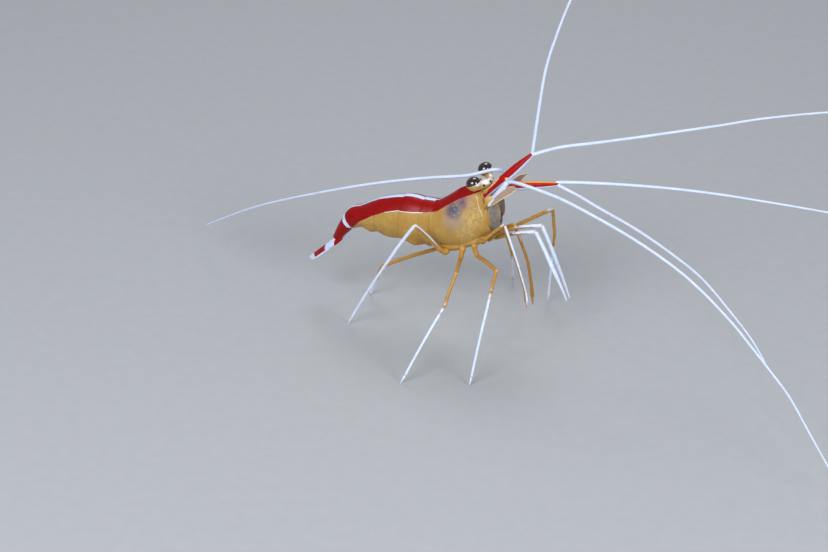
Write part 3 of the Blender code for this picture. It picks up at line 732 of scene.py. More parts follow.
def paint_shell(piece, collar=False, front=False):
    """Notes the markings from each point's place: distances in millimetres, shares from 0 to 1.

    Only a piece with a collar has the white band over the tail's joint, and only a front piece
    the pale seam along its edge."""
    def stripe_gap(p):
        on_red = p.z > between(SCARLET_EDGE, p.x) - 0.5
        return abs(p.y) - between(STRIPE_HALF, p.x) if on_red else FAR

    def band(p):
        if not collar or p.z <= COLLAR_HALF[0][0]:
            return FAR
        back = (Vector((p.x, p.z)) - COLLAR_POINT).dot(COLLAR_WAY)
        # It runs a little further back down the sides.
        back -= 0.75 + 0.25 * min(1.0, abs(p.y) / 2)
        return abs(back) - between(COLLAR_HALF, p.z)

    def seam(p):
        return (Vector((p.x, p.z)) - SEAM_POINT).dot(SEAM_WAY) if front else FAR

    note(piece, "red_gap", lambda p: between(SCARLET_EDGE, p.x) - p.z)
    note(piece, "line_gap", lambda p: (between(SCARLET_EDGE, p.x) - p.z
                                       - (RIM_WIDTH if RIM_BACK < p.x < RIM_FRONT else 0.0)))
    note(piece, "stripe_gap", stripe_gap)
    note(piece, "band", band)
    note(piece, "seam", seam)
    note(piece, "seam_end", lambda p: sum(1.5 * (1 - smoothstep(gone, full, p.z))
                                          for gone, full in SEAM_ENDS))
    # The thorax darkens towards its underside.
    note(piece, "belly", lambda p: (max(0.0, min(1.0, (BELLY_TOP - p.z) / BELLY_FADE))
                                    if p.x > BELLY_BACK else 0.0))
    for key, spots in BLOTS.items():
        note(piece, key, lambda p: max(blot(p, *spot) for spot in spots))


def shell_plate(name, stations, round_to, lobes):
    """An open plate over the back, its lower corners pulled into lobes, with a real wall."""
    piece = grow(name, stations, SHELL_SIDES, closed=False)

    def under(face):
        steps = [v % SHELL_SIDES for v in face.vertices]
        closing = 0 in steps and SHELL_SIDES - 1 in steps
        step = (SHELL_SIDES if closing else min(steps) + 1) - 0.5
        from_top = abs(360 * step / SHELL_SIDES - 90)
        return min(from_top, 360 - from_top) > round_to

    with editing(piece, under, faces=True):
        bpy.ops.mesh.delete(type="FACE")
    for (x, y, z), (ahead, out, up), reach in lobes:
        for _, sign in SIDES:
            pull(piece, (x, sign * y, z), (ahead, sign * out, up), reach)
    thicken(piece, SHELL_WALL)
    settle(piece, Matrix.Translation(HOME))
    smooth(piece, 2)
    return piece


def carapace():
    """The shell over head and thorax, keeled along the back, over the soft body inside."""
    places = (0, 0.12, 0.5, 1, 1.5, 2, 2.5, 3, 3.5, 4, 4.5, 5, 5.5, 5.85, 6)
    sizes = (1.03, 1.02) + (1.0,) * 13
    lobes = [((5.4, 0.0, 36.1), (0, 0, 0.3), 3.0), ((9.0, 0.0, 38.0), (0, 0, 0.35), 2.5),
             ((12.6, 2.4, 27.6), (0.8, 0.2, 0.3), 2.2), ((11.0, 2.5, 37.3), (-0.9, 0, -0.2), 1.6),
             ((11.9, 2.5, 34.5), (0.7, 0.2, 0), 1.0)]
    stations = [hoop(CARAPACE, p, s) for p, s in zip(places, sizes)]
    shell = shell_plate("carapace_shell", stations, CARAPACE_ANGLE, lobes)
    paint_shell(shell, front=True)
    hand_over(shell, SHELL, "amber_shell", "carapace")

    places = (0.05, 0.6, 1, 1.5, 2, 2.5, 3, 3.5, 4, 4.5, 5, 5.5, 6, 6.5, 7)
    stations = [hoop(CARAPACE, p, 0.94 + 0.03 * smoothstep(3, 5, p)) for p in places]
    x, z, wide, high, lean = stations[-1]
    stations += [(x + 0.9, z - 0.3, wide * 0.75, high * 0.7, lean),
                 (x + 1.3, z - 0.5, wide * 0.4, high * 0.4, lean)]
    stations = [(x, z - 0.25, wide, high * 1.02, lean) for x, z, wide, high, lean in stations]
    parts = [body("soft_body", stations, 28),
             pod("sternum", (-1.4, 0, 21.5), (10.5, 0, 24.4),
                 [(0, 0.7), (0.08, 1.4), (0.25, 2.1), (0.45, 2.15), (0.7, 1.9), (0.9, 1.2),
                  (1, 0.6)], sides=20)]
    for _, sign in SIDES:
        parts.append(pod(
            "hind_ridge", (-0.3, sign * 1.5, 21.4), (7.0, sign * 2.3, 23.0),
            [(0, 0.5), (0.1, 0.95), (0.4, 1.3), (0.65, 1.25), (0.9, 0.9), (1, 0.5)], sides=20))
        parts.append(pod(
            "fore_ridge", (5.2, sign * 2.3, 22.9), (12.6, sign * 2.0, 26.4),
            [(0, 0.5), (0.1, 0.9), (0.4, 1.05), (0.8, 1.1), (0.95, 0.8), (1, 0.4)], sides=20))
    flesh = join(parts, "soft_body")
    fuse(flesh, grid=0.16, rounds=6)
    paint_shell(flesh)
    hand_over(flesh, SHELL, "amber_shell")


def abdomen_plate(number):
    """One overlapping plate: it tucks under the one before and rolls in over the next."""
    front = number - 1
    last = number == len(ABDOMEN) - 1
    end = 1.0 if last else 1.12
    places = (0.0, 0.12, 0.3, 0.5, 0.7, 0.88, end - 0.06, end)
    sizes = (0.975, 0.985, 1.0, 1.01, 1.012, 1.016, 1.02, 1.01)
    stations = [hoop(ABDOMEN, front + p, s) for p, s in zip(places, sizes)]
    name = f"abdomen_shell_{number}"
    if last:
        piece = body(name, stations, SHELL_SIDES, 2)
    else:
        x, z, wide, high, _ = hoop(ABDOMEN, front + 0.55)
        drop = 0.9 if number == 2 else 0.6
        length = stations[0][0] - hoop(ABDOMEN, number)[0]
        lobes = [((x, wide * 0.56, z - high * 0.83), (0, 0.15, -drop), length * 0.62)]
        if number == 2:
            # The second plate also laps over the first.
            lobes.append(((stations[0][0], wide * 0.6, z - high * 0.8), (0.8, 0.25, 0.1), 1.6))
        piece = shell_plate(name, stations, PLEURA_ANGLE, lobes)
    paint_shell(piece, collar=number >= 5)
    hand_over(piece, SHELL, "scarlet_shell" if last else "amber_shell", f"abdomen_{number}")


def belly():
    """The soft underside inside the abdominal plates."""
    count = 2 * (len(ABDOMEN) - 2)
    stations = [hoop(ABDOMEN, i / 2, 0.94 if i % 2 else 0.92) for i in range(count + 1)]
    piece = body("soft_belly", stations, 28)
    paint_shell(piece)
    hand_over(piece, SHELL, "amber_shell")


# ---------------------------------------------------------------- masters, modelled once

def limb_master():
    """One limb article a millimetre long, gently waisted, with rounded ends."""
    profile = [(0.0, 0.5), (0.006, 0.76), (0.02, 0.88), (0.05, 0.94), (0.12, 0.96), (0.4, 0.93),
               (0.7, 0.93), (0.88, 0.97), (0.95, 1.0), (0.985, 0.95), (1.0, 0.72)]
    piece = grow("limb_article", [(f, 0, r, r, 0) for f, r in profile], 12)
    smooth(piece)
    return piece


def claw_master():
    """A dactyl: a hook that tapers to a sharp tip."""
    piece = grow("dactyl", [
        (0.0, 0.0, 0.9, 0.9, 0), (0.1, 0.02, 1.0, 1.0, 2), (0.35, 0.05, 0.85, 0.9, 6),
        (0.6, 0.02, 0.6, 0.68, 14), (0.8, -0.06, 0.36, 0.42, 22), (0.93, -0.16, 0.16, 0.2, 28),
        (1.0, -0.24, 0.05, 0.06, 30)], 10)
    smooth(piece)
    return piece


def bristle_master():
    """One bristle a millimetre long, slightly curved."""
    return grow("bristle", [(0.0, 0.0, 1.0, 1.0, 0), (0.35, 0.03, 0.8, 0.8, 6),
                            (0.7, 0.1, 0.5, 0.5, 12), (1.0, 0.22, 0.12, 0.12, 16)], 5)


def leaf_half(t, waist):
    """Half width of a leaf at a fraction of its length, from a narrow base to a round tip."""
    if t > LEAF_WIDEST:
        return math.sqrt(max(0.004, 1 - ((t - LEAF_WIDEST) / 0.385) ** 2))
    return waist + (1 - waist) * math.sin(math.pi * t / (2 * LEAF_WIDEST))


def leaf_master(name, waist, rib, camber, straight=False):
    """A flat leaf a millimetre long and wide: narrow base, round tip, raised middle rib.

    With straight, its -Y edge runs straight and only the other curves."""
    columns, rows = 16, 8
    piece = primitive(bpy.ops.mesh.primitive_grid_add, name, x_subdivisions=columns,
                      y_subdivisions=rows, size=MM, location=(MM / 2, 0, 0))
    for column in range(columns + 1):
        t = column / columns
        middle = (t * MM, -MM / 2 if straight else 0, 0)
        with editing(piece, lambda v: abs(v.co.x / MM - t) < 0.01):
            bpy.ops.transform.resize(value=(1, leaf_half(t, waist), 1), center_override=middle)
    sides = [abs(row / rows - 0.5) * 2 for row in range(rows + 1)]
    note(piece, "across", [sides[v.index // (columns + 1)] for v in piece.data.vertices])
    note(piece, "along", [v.co.x / MM for v in piece.data.vertices])
    for row, side in enumerate(sides):
        lift = (rib if side == 0 else 0) - camber * side ** 2
        with editing(piece, lambda v: v.index // (columns + 1) == row):
            bpy.ops.transform.translate(value=(0, 0, lift * MM))
    return piece


# ---------------------------------------------------------------- limbs

def stretch(length, wide, high):
    """The matrix that makes a master so long, wide and high, in millimetres."""
    return Matrix.Diagonal((length, wide, high, 1.0))


def article(start, end, radii, up=(0, 0, 1), flat=1.0, bow=0.0):
    """One limb article laid from start to end, tapering between two radii and bowed upwards."""
    length = (end - start).length
    piece = copy_of(ARTICLE, "article", Matrix())
    # The master's rounded ends keep their own length on a long article.
    root_end, tip_end = 0.14, 0.88
    squeeze = min(1.0, 7.0 * max(radii) / max(length, 0.1))
    for vertex in piece.data.vertices:
        share = max(0.0, min(vertex.co.x / MM, 1.0))
        if share < root_end:
            share *= squeeze
        elif share > tip_end:
            share = 1 - (1 - share) * squeeze
        radius = radii[0] + (radii[1] - radii[0]) * share
        lift = 4 * bow * share * (1 - share) * MM
        vertex.co = (share * length * MM, vertex.co.y * radius,
                     vertex.co.z * radius * flat + lift)
    piece.data.transform(lay_along(start, end, up))
    return piece


def bristle(root, tip, thickness, up=(0, 0, 1)):
    """One bristle from root to tip, which bends towards up."""
    size = stretch((tip - root).length, thickness, thickness)
    return copy_of(BRISTLE_SHAPE, "bristle", lay_along(root, tip, up) @ size)


def spines(start, end, radius, count, side, size):
    """Small spines along the edge of an article that faces side."""
    ahead = (end - start).normalized()
    out = square_to(ahead, side)
    roots = [start.lerp(end, (i + 0.7) / (count + 0.4)) + out * radius * 0.8
             for i in range(count)]
    slant = (out * 0.7 + ahead).normalized() * size
    return [bristle(root, root + slant, 0.045, -ahead) for root in roots]


def limb_part(parts, name, slot, ends, joints, tones, up=(0, 0, 1), rise=(-0.1, 0.5)):
    """Joins one half of a limb and hands it over with its whiteness and its joints' orange spots.

    Tones are the whiteness from end to end on the face that looks up and on the other."""
    whole = join(parts, name)
    start, axis = ends[0], ends[1] - ends[0]
    out = square_to(axis.normalized(), up)
    whites = []
    for vertex, normal in zip(whole.data.vertices, whole.data.vertex_normals):
        share = (place_of(vertex) - start).dot(axis) / axis.length_squared
        upper = smoothstep(*rise, normal.vector.dot(out))
        whites.append(along(tones[1], share) * (1 - upper) + along(tones[0], share) * upper)
    note(whole, "pale", whites)
    note(whole, "joint", lambda p: max(0.0, 1 - min((p - j).length for j in joints) / JOINT_SPOT))
    hand_over(whole, LIMB, slot, name)


def upper_limb(name, joints, radii, tones, slot, bow, flat=1.0):
    """A limb above its knee: stout coxa and basis, each sunk in the one before, and the merus."""
    inner, root, hip, knee = joints
    inner_radius, root_radius, hip_radius, knee_radius = radii
    r0, r1, r2 = inner_radius * 0.8, root_radius * 0.78, hip_radius
    ahead = (root - inner).normalized()
    parts = [pod("coxa", inner, root + ahead * r1 * 0.45,
                 [(0, 0.7 * r0), (0.25, r0), (0.6, r1 * 1.06), (0.88, r1 * 0.96), (1, r1 * 0.7)],
                 1.05, (1, 0, 0)),
             pod("basis", root - (hip - root) * 0.2, hip.lerp(root, -0.04),
                 [(0, 0.6 * r1), (0.15, 0.9 * r1), (0.4, 0.8 * r1), (0.46, 0.76 * r1),
                  (0.5, 0.8 * r1), (0.8, r2 * 1.02), (0.95, 0.98 * r2), (1, 0.6 * r2)]),
             article(hip, knee, (r2 * 0.9, knee_radius), flat=flat, bow=bow)]
    if name.startswith("leg"):
        parts += spines(hip.lerp(knee, 0.12), knee, radius=0.4, count=5, side=(0, 0, -1), size=0.4)
    limb_part(parts, name + "_upper", slot, (inner, knee), (hip, knee), tones)


def walking_leg(name, joints, tones):
    """Below the knee of a walking leg: carpus, propodus and a hooked dactyl."""
    knee, wrist, ankle, toe = joints
    ankle = ankle.lerp(toe, 0.68)
    outer = Vector((toe.x - knee.x, toe.y - knee.y, 0)).normalized() + Vector((0, 0, 0.6))
    parts = [article(knee, wrist, (0.42, 0.4), outer, bow=0.12),
             article(wrist, ankle, (0.36, 0.28), outer, bow=0.2)]
    parts += spines(wrist, ankle, radius=0.3, count=9, side=-outer, size=0.34)
    hook = stretch((toe - ankle).length, 0.25, 0.27)
    parts.append(copy_of(DACTYL, "claw", lay_along(ankle, toe, outer) @ hook))
    limb_part(parts, name + "_lower", "white_limb", (knee, toe), (knee, wrist, ankle), tones,
              outer)


def claw_leg(name, joints, tones, palm_radius):
    """Below the knee of a clawed leg; on the second pair the wrist is a string of short rings."""
    knee, wrist, palm, tip = joints
    front = (0.6, -0.6, 0.5)
    parts = [article(knee, wrist, (0.42, 0.36), front, bow=0.1)]
    if name.endswith("2"):
        for i in range(WRIST_RINGS):
            a = wrist.lerp(palm, max(0, i - 0.3) / WRIST_RINGS)
            parts.append(article(a, wrist.lerp(palm, (i + 1) / WRIST_RINGS), (0.32, 0.33)))
    else:
        parts.append(article(wrist, palm, (0.37, 0.4)))
    knuckle = palm.lerp(tip, 0.56)
    parts.append(article(palm, knuckle, (palm_radius, palm_radius * 1.2), (0, 1, 0), flat=0.85))
    for _, sign in SIDES:
        root = knuckle + Vector((0, sign * 0.18, 0)) - (tip - palm) * 0.1
        end = tip + Vector((0, sign * 0.05, 0))
        finger = stretch((end - root).length, 0.27, 0.24)
        parts.append(copy_of(DACTYL, "finger", lay_along(root, end, (0, sign, 0)) @ finger))
        for i in range(4):
            spot = root.lerp(tip, 0.5 + 0.12 * i)
            parts.append(bristle(spot, spot + Vector((0.12, sign * 0.4, -0.45)), 0.025))
    limb_part(parts, name + "_lower", "amber_limb", (knee, tip), (wrist,), tones, front,
              (0.5, 0.95))


def maxilliped(name, joints, tones):
    """Below the knee of the leg-like mouth limb: two flattened, bristled articles."""
    knee, middle, tip = joints
    parts = [article(knee, middle, (0.48, 0.6), (1, 0, 0), flat=0.9, bow=0.1),
             article(middle, tip, (0.6, 0.12), (1, 0, 0), flat=0.9, bow=0.1)]
    for a, b, longest in ((knee, middle, 0.4), (middle, tip, 0.55)):
        ahead = (b - a).normalized()
        for i in range(SETA_ROWS):
            for _, sign in SIDES:
                spot = a.lerp(b, (i + random.uniform(0.2, 0.8)) / SETA_ROWS)
                out = Vector((-0.5, sign, random.uniform(-0.5, 0.2))).normalized()
                reach = longest * random.uniform(0.7, 1.1)
                end = spot + out * reach + ahead * reach * random.uniform(0.8, 1.5)
                parts.append(bristle(spot, end, 0.016))
    limb_part(parts, name + "_lower", "white_limb", (knee, tip), (knee,), tones)


def limb(name, knots):
    """One whole limb of its kind from its knots."""
    joints = [Vector(knot[:3]) for knot in knots]
    radii = [knot[3] for knot in knots if len(knot) == 4]
    tones = next(values for key, values in PALENESS.items() if name.startswith(key))
    if name.startswith("leg"):
        upper_limb(name, joints[:4], radii, tones[:2], "amber_limb", bow=0.25)
        walking_leg(name, joints[3:], tones[2:])
    elif name.startswith("claw"):
        upper_limb(name, joints[:4], radii[:4], tones[:2], "amber_limb", bow=0.15)
        claw_leg(name, joints[3:], tones[2:], radii[4])
    else:
        upper_limb(name, joints[:4], radii, tones[:2], "white_limb", bow=0.1, flat=0.85)
        maxilliped(name, joints[3:], tones[2:])


# ---------------------------------------------------------------- feelers

def route(points, step):
    """Evenly spaced points on a smooth line through the route's own points."""
    knots = [Vector(point) for point in points]
    fine = [blend(knots, i / 12) for i in range(12 * (len(knots) - 1) + 1)]
    length = sum((b - a).length for a, b in zip(fine, fine[1:]))
    count = max(2, round(length / step))
    spaced, walked, wanted = [fine[0]], 0.0, length / count
    for a, b in zip(fine, fine[1:]):
        gap = (b - a).length
        while walked + gap >= wanted * len(spaced) and len(spaced) < count:
            spaced.append(a.lerp(b, (wanted * len(spaced) - walked) / gap))
        walked += gap
    return spaced + [fine[-1]]


def feeler(name, points):
    """A tapering feeler of short rings, with a groove between each two."""
    groove_every = 3             # steps of the line
    sides = 8                    # what a bevel resolution of 2 gives
    line = route(points, ANNULUS / groove_every)
    last = len(line) - 1
    data = bpy.data.curves.new(name, "CURVE")
    data.dimensions = "3D"
    data.bevel_depth, data.bevel_resolution = MM, 2
    data.use_fill_caps = True
    spline = data.splines.new("POLY")
    spline.points.add(last)
    for i, (knot, point) in enumerate(zip(spline.points, line)):
        radius = FEELER_BASE + (FEELER_TIP - FEELER_BASE) * i / last
        knot.co = (*at(point), 1.0)
        knot.radius = radius * (0.975 if i % groove_every == 0 else 1.0)
    piece = bpy.data.objects.new(name, data)
    bpy.context.scene.collection.objects.link(piece)
    active(piece)
    bpy.ops.object.convert(target="MESH")
    piece = bpy.context.object
    note(piece, "ring", [1.0 if v.index // sides % groove_every == 0 else 0.0
                         for v in piece.data.vertices])
    with editing(piece):
        bpy.ops.mesh.remove_doubles(threshold=1e-7)
        bpy.ops.mesh.normals_make_consistent(inside=False)
    bpy.ops.object.shade_smooth()
    nodes = [name + "_base", name + "_tip"] if name in SPLIT_FEELERS else [name]
    hand_over(piece, FEELER, "white_feeler", *nodes)


# ---------------------------------------------------------------- head

def speck(piece, name, middle, reach):
    """Notes 1 at a place and less all round it, down to 0 at its reach."""
    note(piece, name, lambda p: max(0.0, 1 - (p - middle).length / reach))


def eye(side, sign):
    """A globe set in the flared cup of its stalk, which leans in to the head."""
    centre = Vector((EYE.x, sign * EYE.y, EYE.z - 0.48 + sign * 0.22))
    root = Vector((STALK_ROOT.x, sign * STALK_ROOT.y, STALK_ROOT.z))
    axis = Vector((-0.42, -0.08 - sign * 0.03, 0.9)).normalized()
    cornea = primitive(bpy.ops.mesh.primitive_uv_sphere_add, f"cornea_{side}", segments=48,
                       ring_count=32, radius=MM)
    settle(cornea, lay_along(centre, centre + axis, (1, 0, 0)) @ stretch(*CORNEA_HALVES))
    bpy.ops.object.shade_smooth()
    hand_over(cornea, CORNEA, "dark_eye", f"eye_{side}")

    foot = centre - axis * 1.75
    cup = pod("cup", foot, centre, [(0.0, 0.35), (0.06, 0.75), (0.25, 1.12), (0.5, 1.46),
                                    (0.75, 1.64), (0.95, 1.74), (1.04, 1.72), (0.98, 1.55)],
              sides=24, levels=2)
    neck = pod("neck", root, foot + axis * 0.75, [(-0.12, 0.5), (0.0, 0.75), (0.3, 0.82),
                                                  (0.7, 0.95), (1.0, 0.9)], sides=20, levels=2)
    stalk = join([cup, neck], f"stalk_{side}")
    fuse(stalk, grid=0.07, rounds=5)
    note(stalk, "height", lambda p: (p.z - centre.z + 0.6) / 1.5 + (p.x - centre.x) * 0.26)
    speck(stalk, "spot", root.lerp(foot, 0.3) + Vector((0.25, sign * 0.75, 0.3)), 0.5)
    hand_over(stalk, STALK, "pale_stalk", f"eyestalk_{side}")


def ocular_saddle():
    """The soft saddle over the forehead that both eyestalks grow from."""
    whole = join([pod("bridge", (11.7, -1.5, 38.9), (11.7, 1.5, 38.9),
                      [(0, 0.5), (0.15, 0.72), (0.5, 0.76), (0.85, 0.72), (1, 0.5)], sides=20),
                  pod("saddle", (11.75, 0, 39.1), (11.4, 0, 36.8),
                      [(0, 0.5), (0.25, 1.0), (0.6, 1.5), (1, 1.7)], sides=20)],
                 "ocular_saddle")
    fuse(whole, grid=0.1, rounds=6)
    note(whole, "height", lambda p: p.z - 38.1)
    speck(whole, "spot", Vector((12.3, -0.4, 39.3)), 0.55)
    hand_over(whole, STALK, "pale_stalk")


def antennule(side, sign):
    """Three stout articles, scarlet over white, with a flat spine at the base."""
    knots = ANTENNULES[side]
    whole = tube(f"antennule_{side}", knots, dips=(2, 3))
    joints = [Vector(knot[:3]) for knot in knots]
    # Only the right one shows its pale joint, and only the left one its orange ridge.
    if side == "right":
        speck(whole, "joint", joints[2] + Vector((0.4, -1.0, 0.0)), 0.8)
    else:
        note(whole, "joint", 0.0)
    ridge = 0.84 if side == "left" else 1.1
    heights = [0.0] * len(whole.data.vertices)
    whole.data.attributes["height"].data.foreach_get("value", heights)
    note(whole, "ridge", [height - ridge for height in heights])
    hand_over(whole, ANTENNULE, "scarlet_shell", f"antennule_{side}")

    root = joints[0] + Vector((-0.8, sign * 0.4, 0.1))
    tip = joints[1].lerp(joints[2], 0.6) + Vector((-0.7, sign * 0.3, 0.9))
    spike = flat_piece(LEAF, f"stylocerite_{side}", root, tip, (-0.8, -0.4, 0.4), width=0.9,
                       wall=0.2)
    hand_over(spike, PLATE_AMBER, "amber_shell")


def antenna(side, sign):
    """The stout base of a long feeler: an oval basal article and two slimmer ones."""
    knots = ANTENNA_BASES[side]
    whole = tube(f"antenna_{side}", knots, dips=(1,))
    note(whole, "ring", 0.0)
    hand_over(whole, FEELER, "white_feeler", f"antenna_{side}")
    # The basal article stands beside the first knot.
    shift = Vector(knots[0][:3]) - Vector((13.3, sign * 2.5, 35.6))
    knob = pod(f"basal_article_{side}", Vector((13.3, sign * 3.9, 35.2)) + shift,
               Vector((15.3, sign * 3.7, 37.4)) + shift,
               [(0, 0.3), (0.06, 0.46), (0.3, 0.6), (0.7, 0.62), (0.94, 0.42), (1.0, 0.26)],
               flat=0.9)
    note(knob, "across", 0.4)
    hand_over(knob, PALE_JOINT, "pale_stalk")


def face():
    """The soft amber parts between the carapace's front edge and the feelers."""
    parts = []
    for _, sign in SIDES:
        parts.append(pod("coxa", (11.2, sign * 1.7, 33.2), (13.9, sign * 3.1, 36.2),
                         [(0, 0.5), (0.1, 0.85), (0.4, 1.0), (0.75, 0.95), (0.94, 0.7), (1, 0.4)],
                         flat=0.85))
        parts.append(pod("lobe", (11.9, sign * 2.4, 35.4), (13.8, sign * 2.7, 36.9),
                         [(0, 0.4), (0.1, 0.6), (0.4, 0.72), (0.75, 0.6), (0.94, 0.4), (1, 0.2)]))
        parts.append(pod("jaw", (12.2, sign * 1.3, 34.2), (13.7, sign * 1.0, 29.6),
                         [(0, 0.6), (0.15, 1.1), (0.5, 1.3), (0.8, 1.05), (0.95, 0.6), (1, 0.3)]))
    parts.append(pod("lip", (12.4, 0, 30.6), (14.3, 0, 29.2),
                     [(0, 0.7), (0.3, 1.05), (0.7, 0.9), (0.95, 0.5), (1, 0.2)]))
    parts.append(pod("forehead", (9.6, 0, 36.9), (13.9, 0, 37.2),
                     [(0, 1.2), (0.25, 1.95), (0.6, 1.9), (0.88, 1.4), (1, 0.7)], flat=0.72,
                     sides=20, levels=2))
    parts.append(pod("muzzle", (11.0, 0, 34.6), (14.0, 0, 34.2),
                     [(0, 1.4), (0.3, 2.1), (0.6, 1.9), (0.88, 1.3), (1, 0.6)], flat=1.1,
                     sides=20))
    whole = join(parts, "head_flesh")
    fuse(whole, grid=0.11, rounds=8)
    paint_shell(whole)
    for key in ("red_gap", "line_gap", "stripe_gap"):
        note(whole, key, FAR)
    for key in ("gut", "haze", "mauve"):
        note(whole, key, 0.0)
    lobe = Vector((13.1, 3.0, 36.6))
    note(whole, "bloom", lambda p: 1.2 * smoothstep(
        1.6, 0.6, (Vector((p.x, abs(p.y), p.z)) - lobe).length))
    hand_over(whole, SHELL, "amber_shell")


def fringe(base, tip, facing, width, spacing, length, start, edge=0, straight=False):
    """A comb of bristles round a leaf-shaped plate; edge -1 or 1 keeps to that side of it."""
    base, tip = Vector(base), Vector(tip)
    reach = (tip - base).length
    ahead = (tip - base).normalized()
    out = square_to(ahead, facing)
    across = out.cross(ahead)
    hairs = []
    count = max(4, int(reach * (1 - start) / spacing))
    for i in range(count + 1):
        t = start + (1 - start) * i / count
        half = leaf_half(t, LEAF_WAIST)
        side = width * (half - 0.5) if straight else width / 2 * half * 0.94
        for sign in ((edge,) if edge else (-1, 1)):
            root = base + ahead * reach * t * 0.985 + across * sign * side
            way = (ahead * (0.75 + t) + across * sign * (0.35 + 0.55 * (1 - t))).normalized()
            hairs.append(bristle(root, root + way * length * random.uniform(0.85, 1.1),
                                 0.02, out))
    return hairs


def flat_piece(master, name, base, tip, facing, width, wall):
    """A leaf-shaped plate copied from its master and laid from base to tip; a negative width
    turns it over side to side."""
    length = (Vector(tip) - Vector(base)).length
    piece = copy_of(master, name, stretch(length, width, 1.0))
    piece.data.transform(lay_along(base, tip, facing))
    if width < 0:
        piece.data.flip_normals()
    thicken(piece, wall)
    smooth(piece)
    return piece


def antennal_scale(side, sign):
    """The flat scale beside a feeler's base: straight outer edge, spine, bristled inner edge."""
    base, tip, facing, width = SCALES[side]
    plate = flat_piece(SCALE_LEAF, f"antennal_scale_{side}", base, tip, facing, -sign * width,
                       wall=0.16)
    base, tip = Vector(base), Vector(tip)
    ahead = (tip - base).normalized()
    outer = square_to(ahead, facing).cross(ahead) * sign
    corner = base.lerp(tip, 0.86) + outer * width * 0.43
    spine = pod("spine", corner - ahead * 0.4, corner + ahead * 1.2 + outer * 0.04,
                [(0, 0.06), (0.3, 0.08), (0.7, 0.05), (1.0, 0.015)], sides=8)
    note(spine, "across", 1.0)
    hand_over(join([plate, spine], plate.name), SCALE, "pale_stalk", f"antennal_scale_{side}")
    hairs = fringe(base, tip, facing, width, spacing=0.12, length=0.36, start=0.35, edge=-sign,
                   straight=True)
    hand_over(join(hairs, f"scale_fringe_{side}"), BRISTLE, "pale_stalk")


def rostrum():
    """The keel over the eyes: a thin toothed blade that rises from the carapace."""
    stations = [(6.2, 36.2, 0.3, 0.35, 24), (8.0, 37.6, 0.38, 0.55, 22),
                (9.6, 38.65, 0.4, 0.55, 18), (10.6, 39.0, 0.32, 0.42, 16),
                (11.5, 39.3, 0.24, 0.3, 16), (12.3, 39.55, 0.15, 0.2, 16),
                (12.9, 39.75, 0.05, 0.07, 16)]
    parts = [body("rostrum", stations, 12)]
    ridge = [(x, z + high * 0.8) for x, z, _, high, _ in stations]
    for x in (7.8, 8.8, 9.8, 10.8, 11.7):
        low = Vector((x, 0, between(ridge, x)))
        parts.append(pod("tooth", low + Vector((-0.25, 0, -0.15)), low + Vector((0.45, 0, 0.2)),
                         [(0, 0.12), (0.35, 0.11), (0.75, 0.06), (1.0, 0.015)], flat=1.4,
                         sides=8))
    whole = join(parts, "rostrum_blade")
    paint_shell(whole)
    note(whole, "red_gap", lambda p: smoothstep(9.8, 10.4, p.x) * 2 - 1)
    note(whole, "stripe_gap", FAR)
    note(whole, "margin", lambda p: smoothstep(9.6, 10.2, p.x))
    hand_over(whole, SHELL, "scarlet_shell", "rostrum")


def mouthparts():
    """Overlapping leaf-like mouth limbs and the small palps between them."""
    parts = []
    leaves = (((13.9, 2.6, 35.6), (14.2, 1.9, 30.0), 2.7),
              ((13.6, 2.2, 32.6), (14.3, 1.3, 28.4), 2.2),
              ((13.2, 1.9, 30.4), (14.2, 0.9, 27.2), 1.7))
    palps = (((13.0, 1.2, 29.4), (14.9, 0.8, 28.2)), ((12.8, 0.9, 28.2), (14.6, 0.5, 27.0)),
             ((12.4, 2.2, 28.6), (13.4, 2.3, 27.0)), ((13.2, 0.4, 31.6), (14.6, 0.3, 30.2)))
    for _, sign in SIDES:
        mirror = Vector((1, sign, 1))
        for number, (base, tip, width) in enumerate(leaves):
            parts.append(flat_piece(LEAF, "mouth_leaf", Vector(base) * mirror,
                                    Vector(tip) * mirror, (0.45 + 0.1 * number, sign, 0.1),
                                    width, wall=0.06))
        for root, tip in palps:
            palp = pod("palp", Vector(root) * mirror, Vector(tip) * mirror,
                       [(0, 0.25), (0.3, 0.34), (0.8, 0.28), (1, 0.08)])
            note(palp, "across", 0.2)
            parts.append(palp)
    hand_over(join(parts, "mouth_leaves"), MEMBRANE, "amber_shell", "mouthparts")


# ---------------------------------------------------------------- tail and swimming legs

def tail_fan():
    """The closed fan: five blades with fringed tips, and the two joints that carry them."""
    for name, (base, tip, width) in TAIL_BLADES.items():
        facing = (-0.55, base[1] / 6, 0.75)
        master = TELSON_LEAF if name == "telson" else LEAF
        blade = flat_piece(master, name, base, tip, facing, width, wall=0.32)
        # Only the outer blades are white along their sides.
        note(blade, "edge", 0.9 if name.endswith("outer") else 0.5)
        hand_over(blade, BLADE, "scarlet_shell", name)
        hairs = fringe(base, tip, facing, width, spacing=0.12, length=0.24, start=0.8)
        hand_over(join(hairs, name + "_fringe"), BRISTLE, "scarlet_shell")
    for side, sign in SIDES:
        knob = pod(f"uropod_joint_{side}", (-23.4, sign * 0.75, 17.7), (-26.5, sign * 1.6, 14.6),
                   [(0, 0.5), (0.15, 0.76), (0.5, 0.74), (0.8, 0.5), (1.0, 0.14)], flat=0.75)
        paint_shell(knob)
        note(knob, "red_gap", -1.0)
        note(knob, "stripe_gap", FAR)
        note(knob, "band", lambda p: 1.0 - 2 * smoothstep(-24.6, -25.6, p.x))
        hand_over(knob, SHELL, "scarlet_shell")


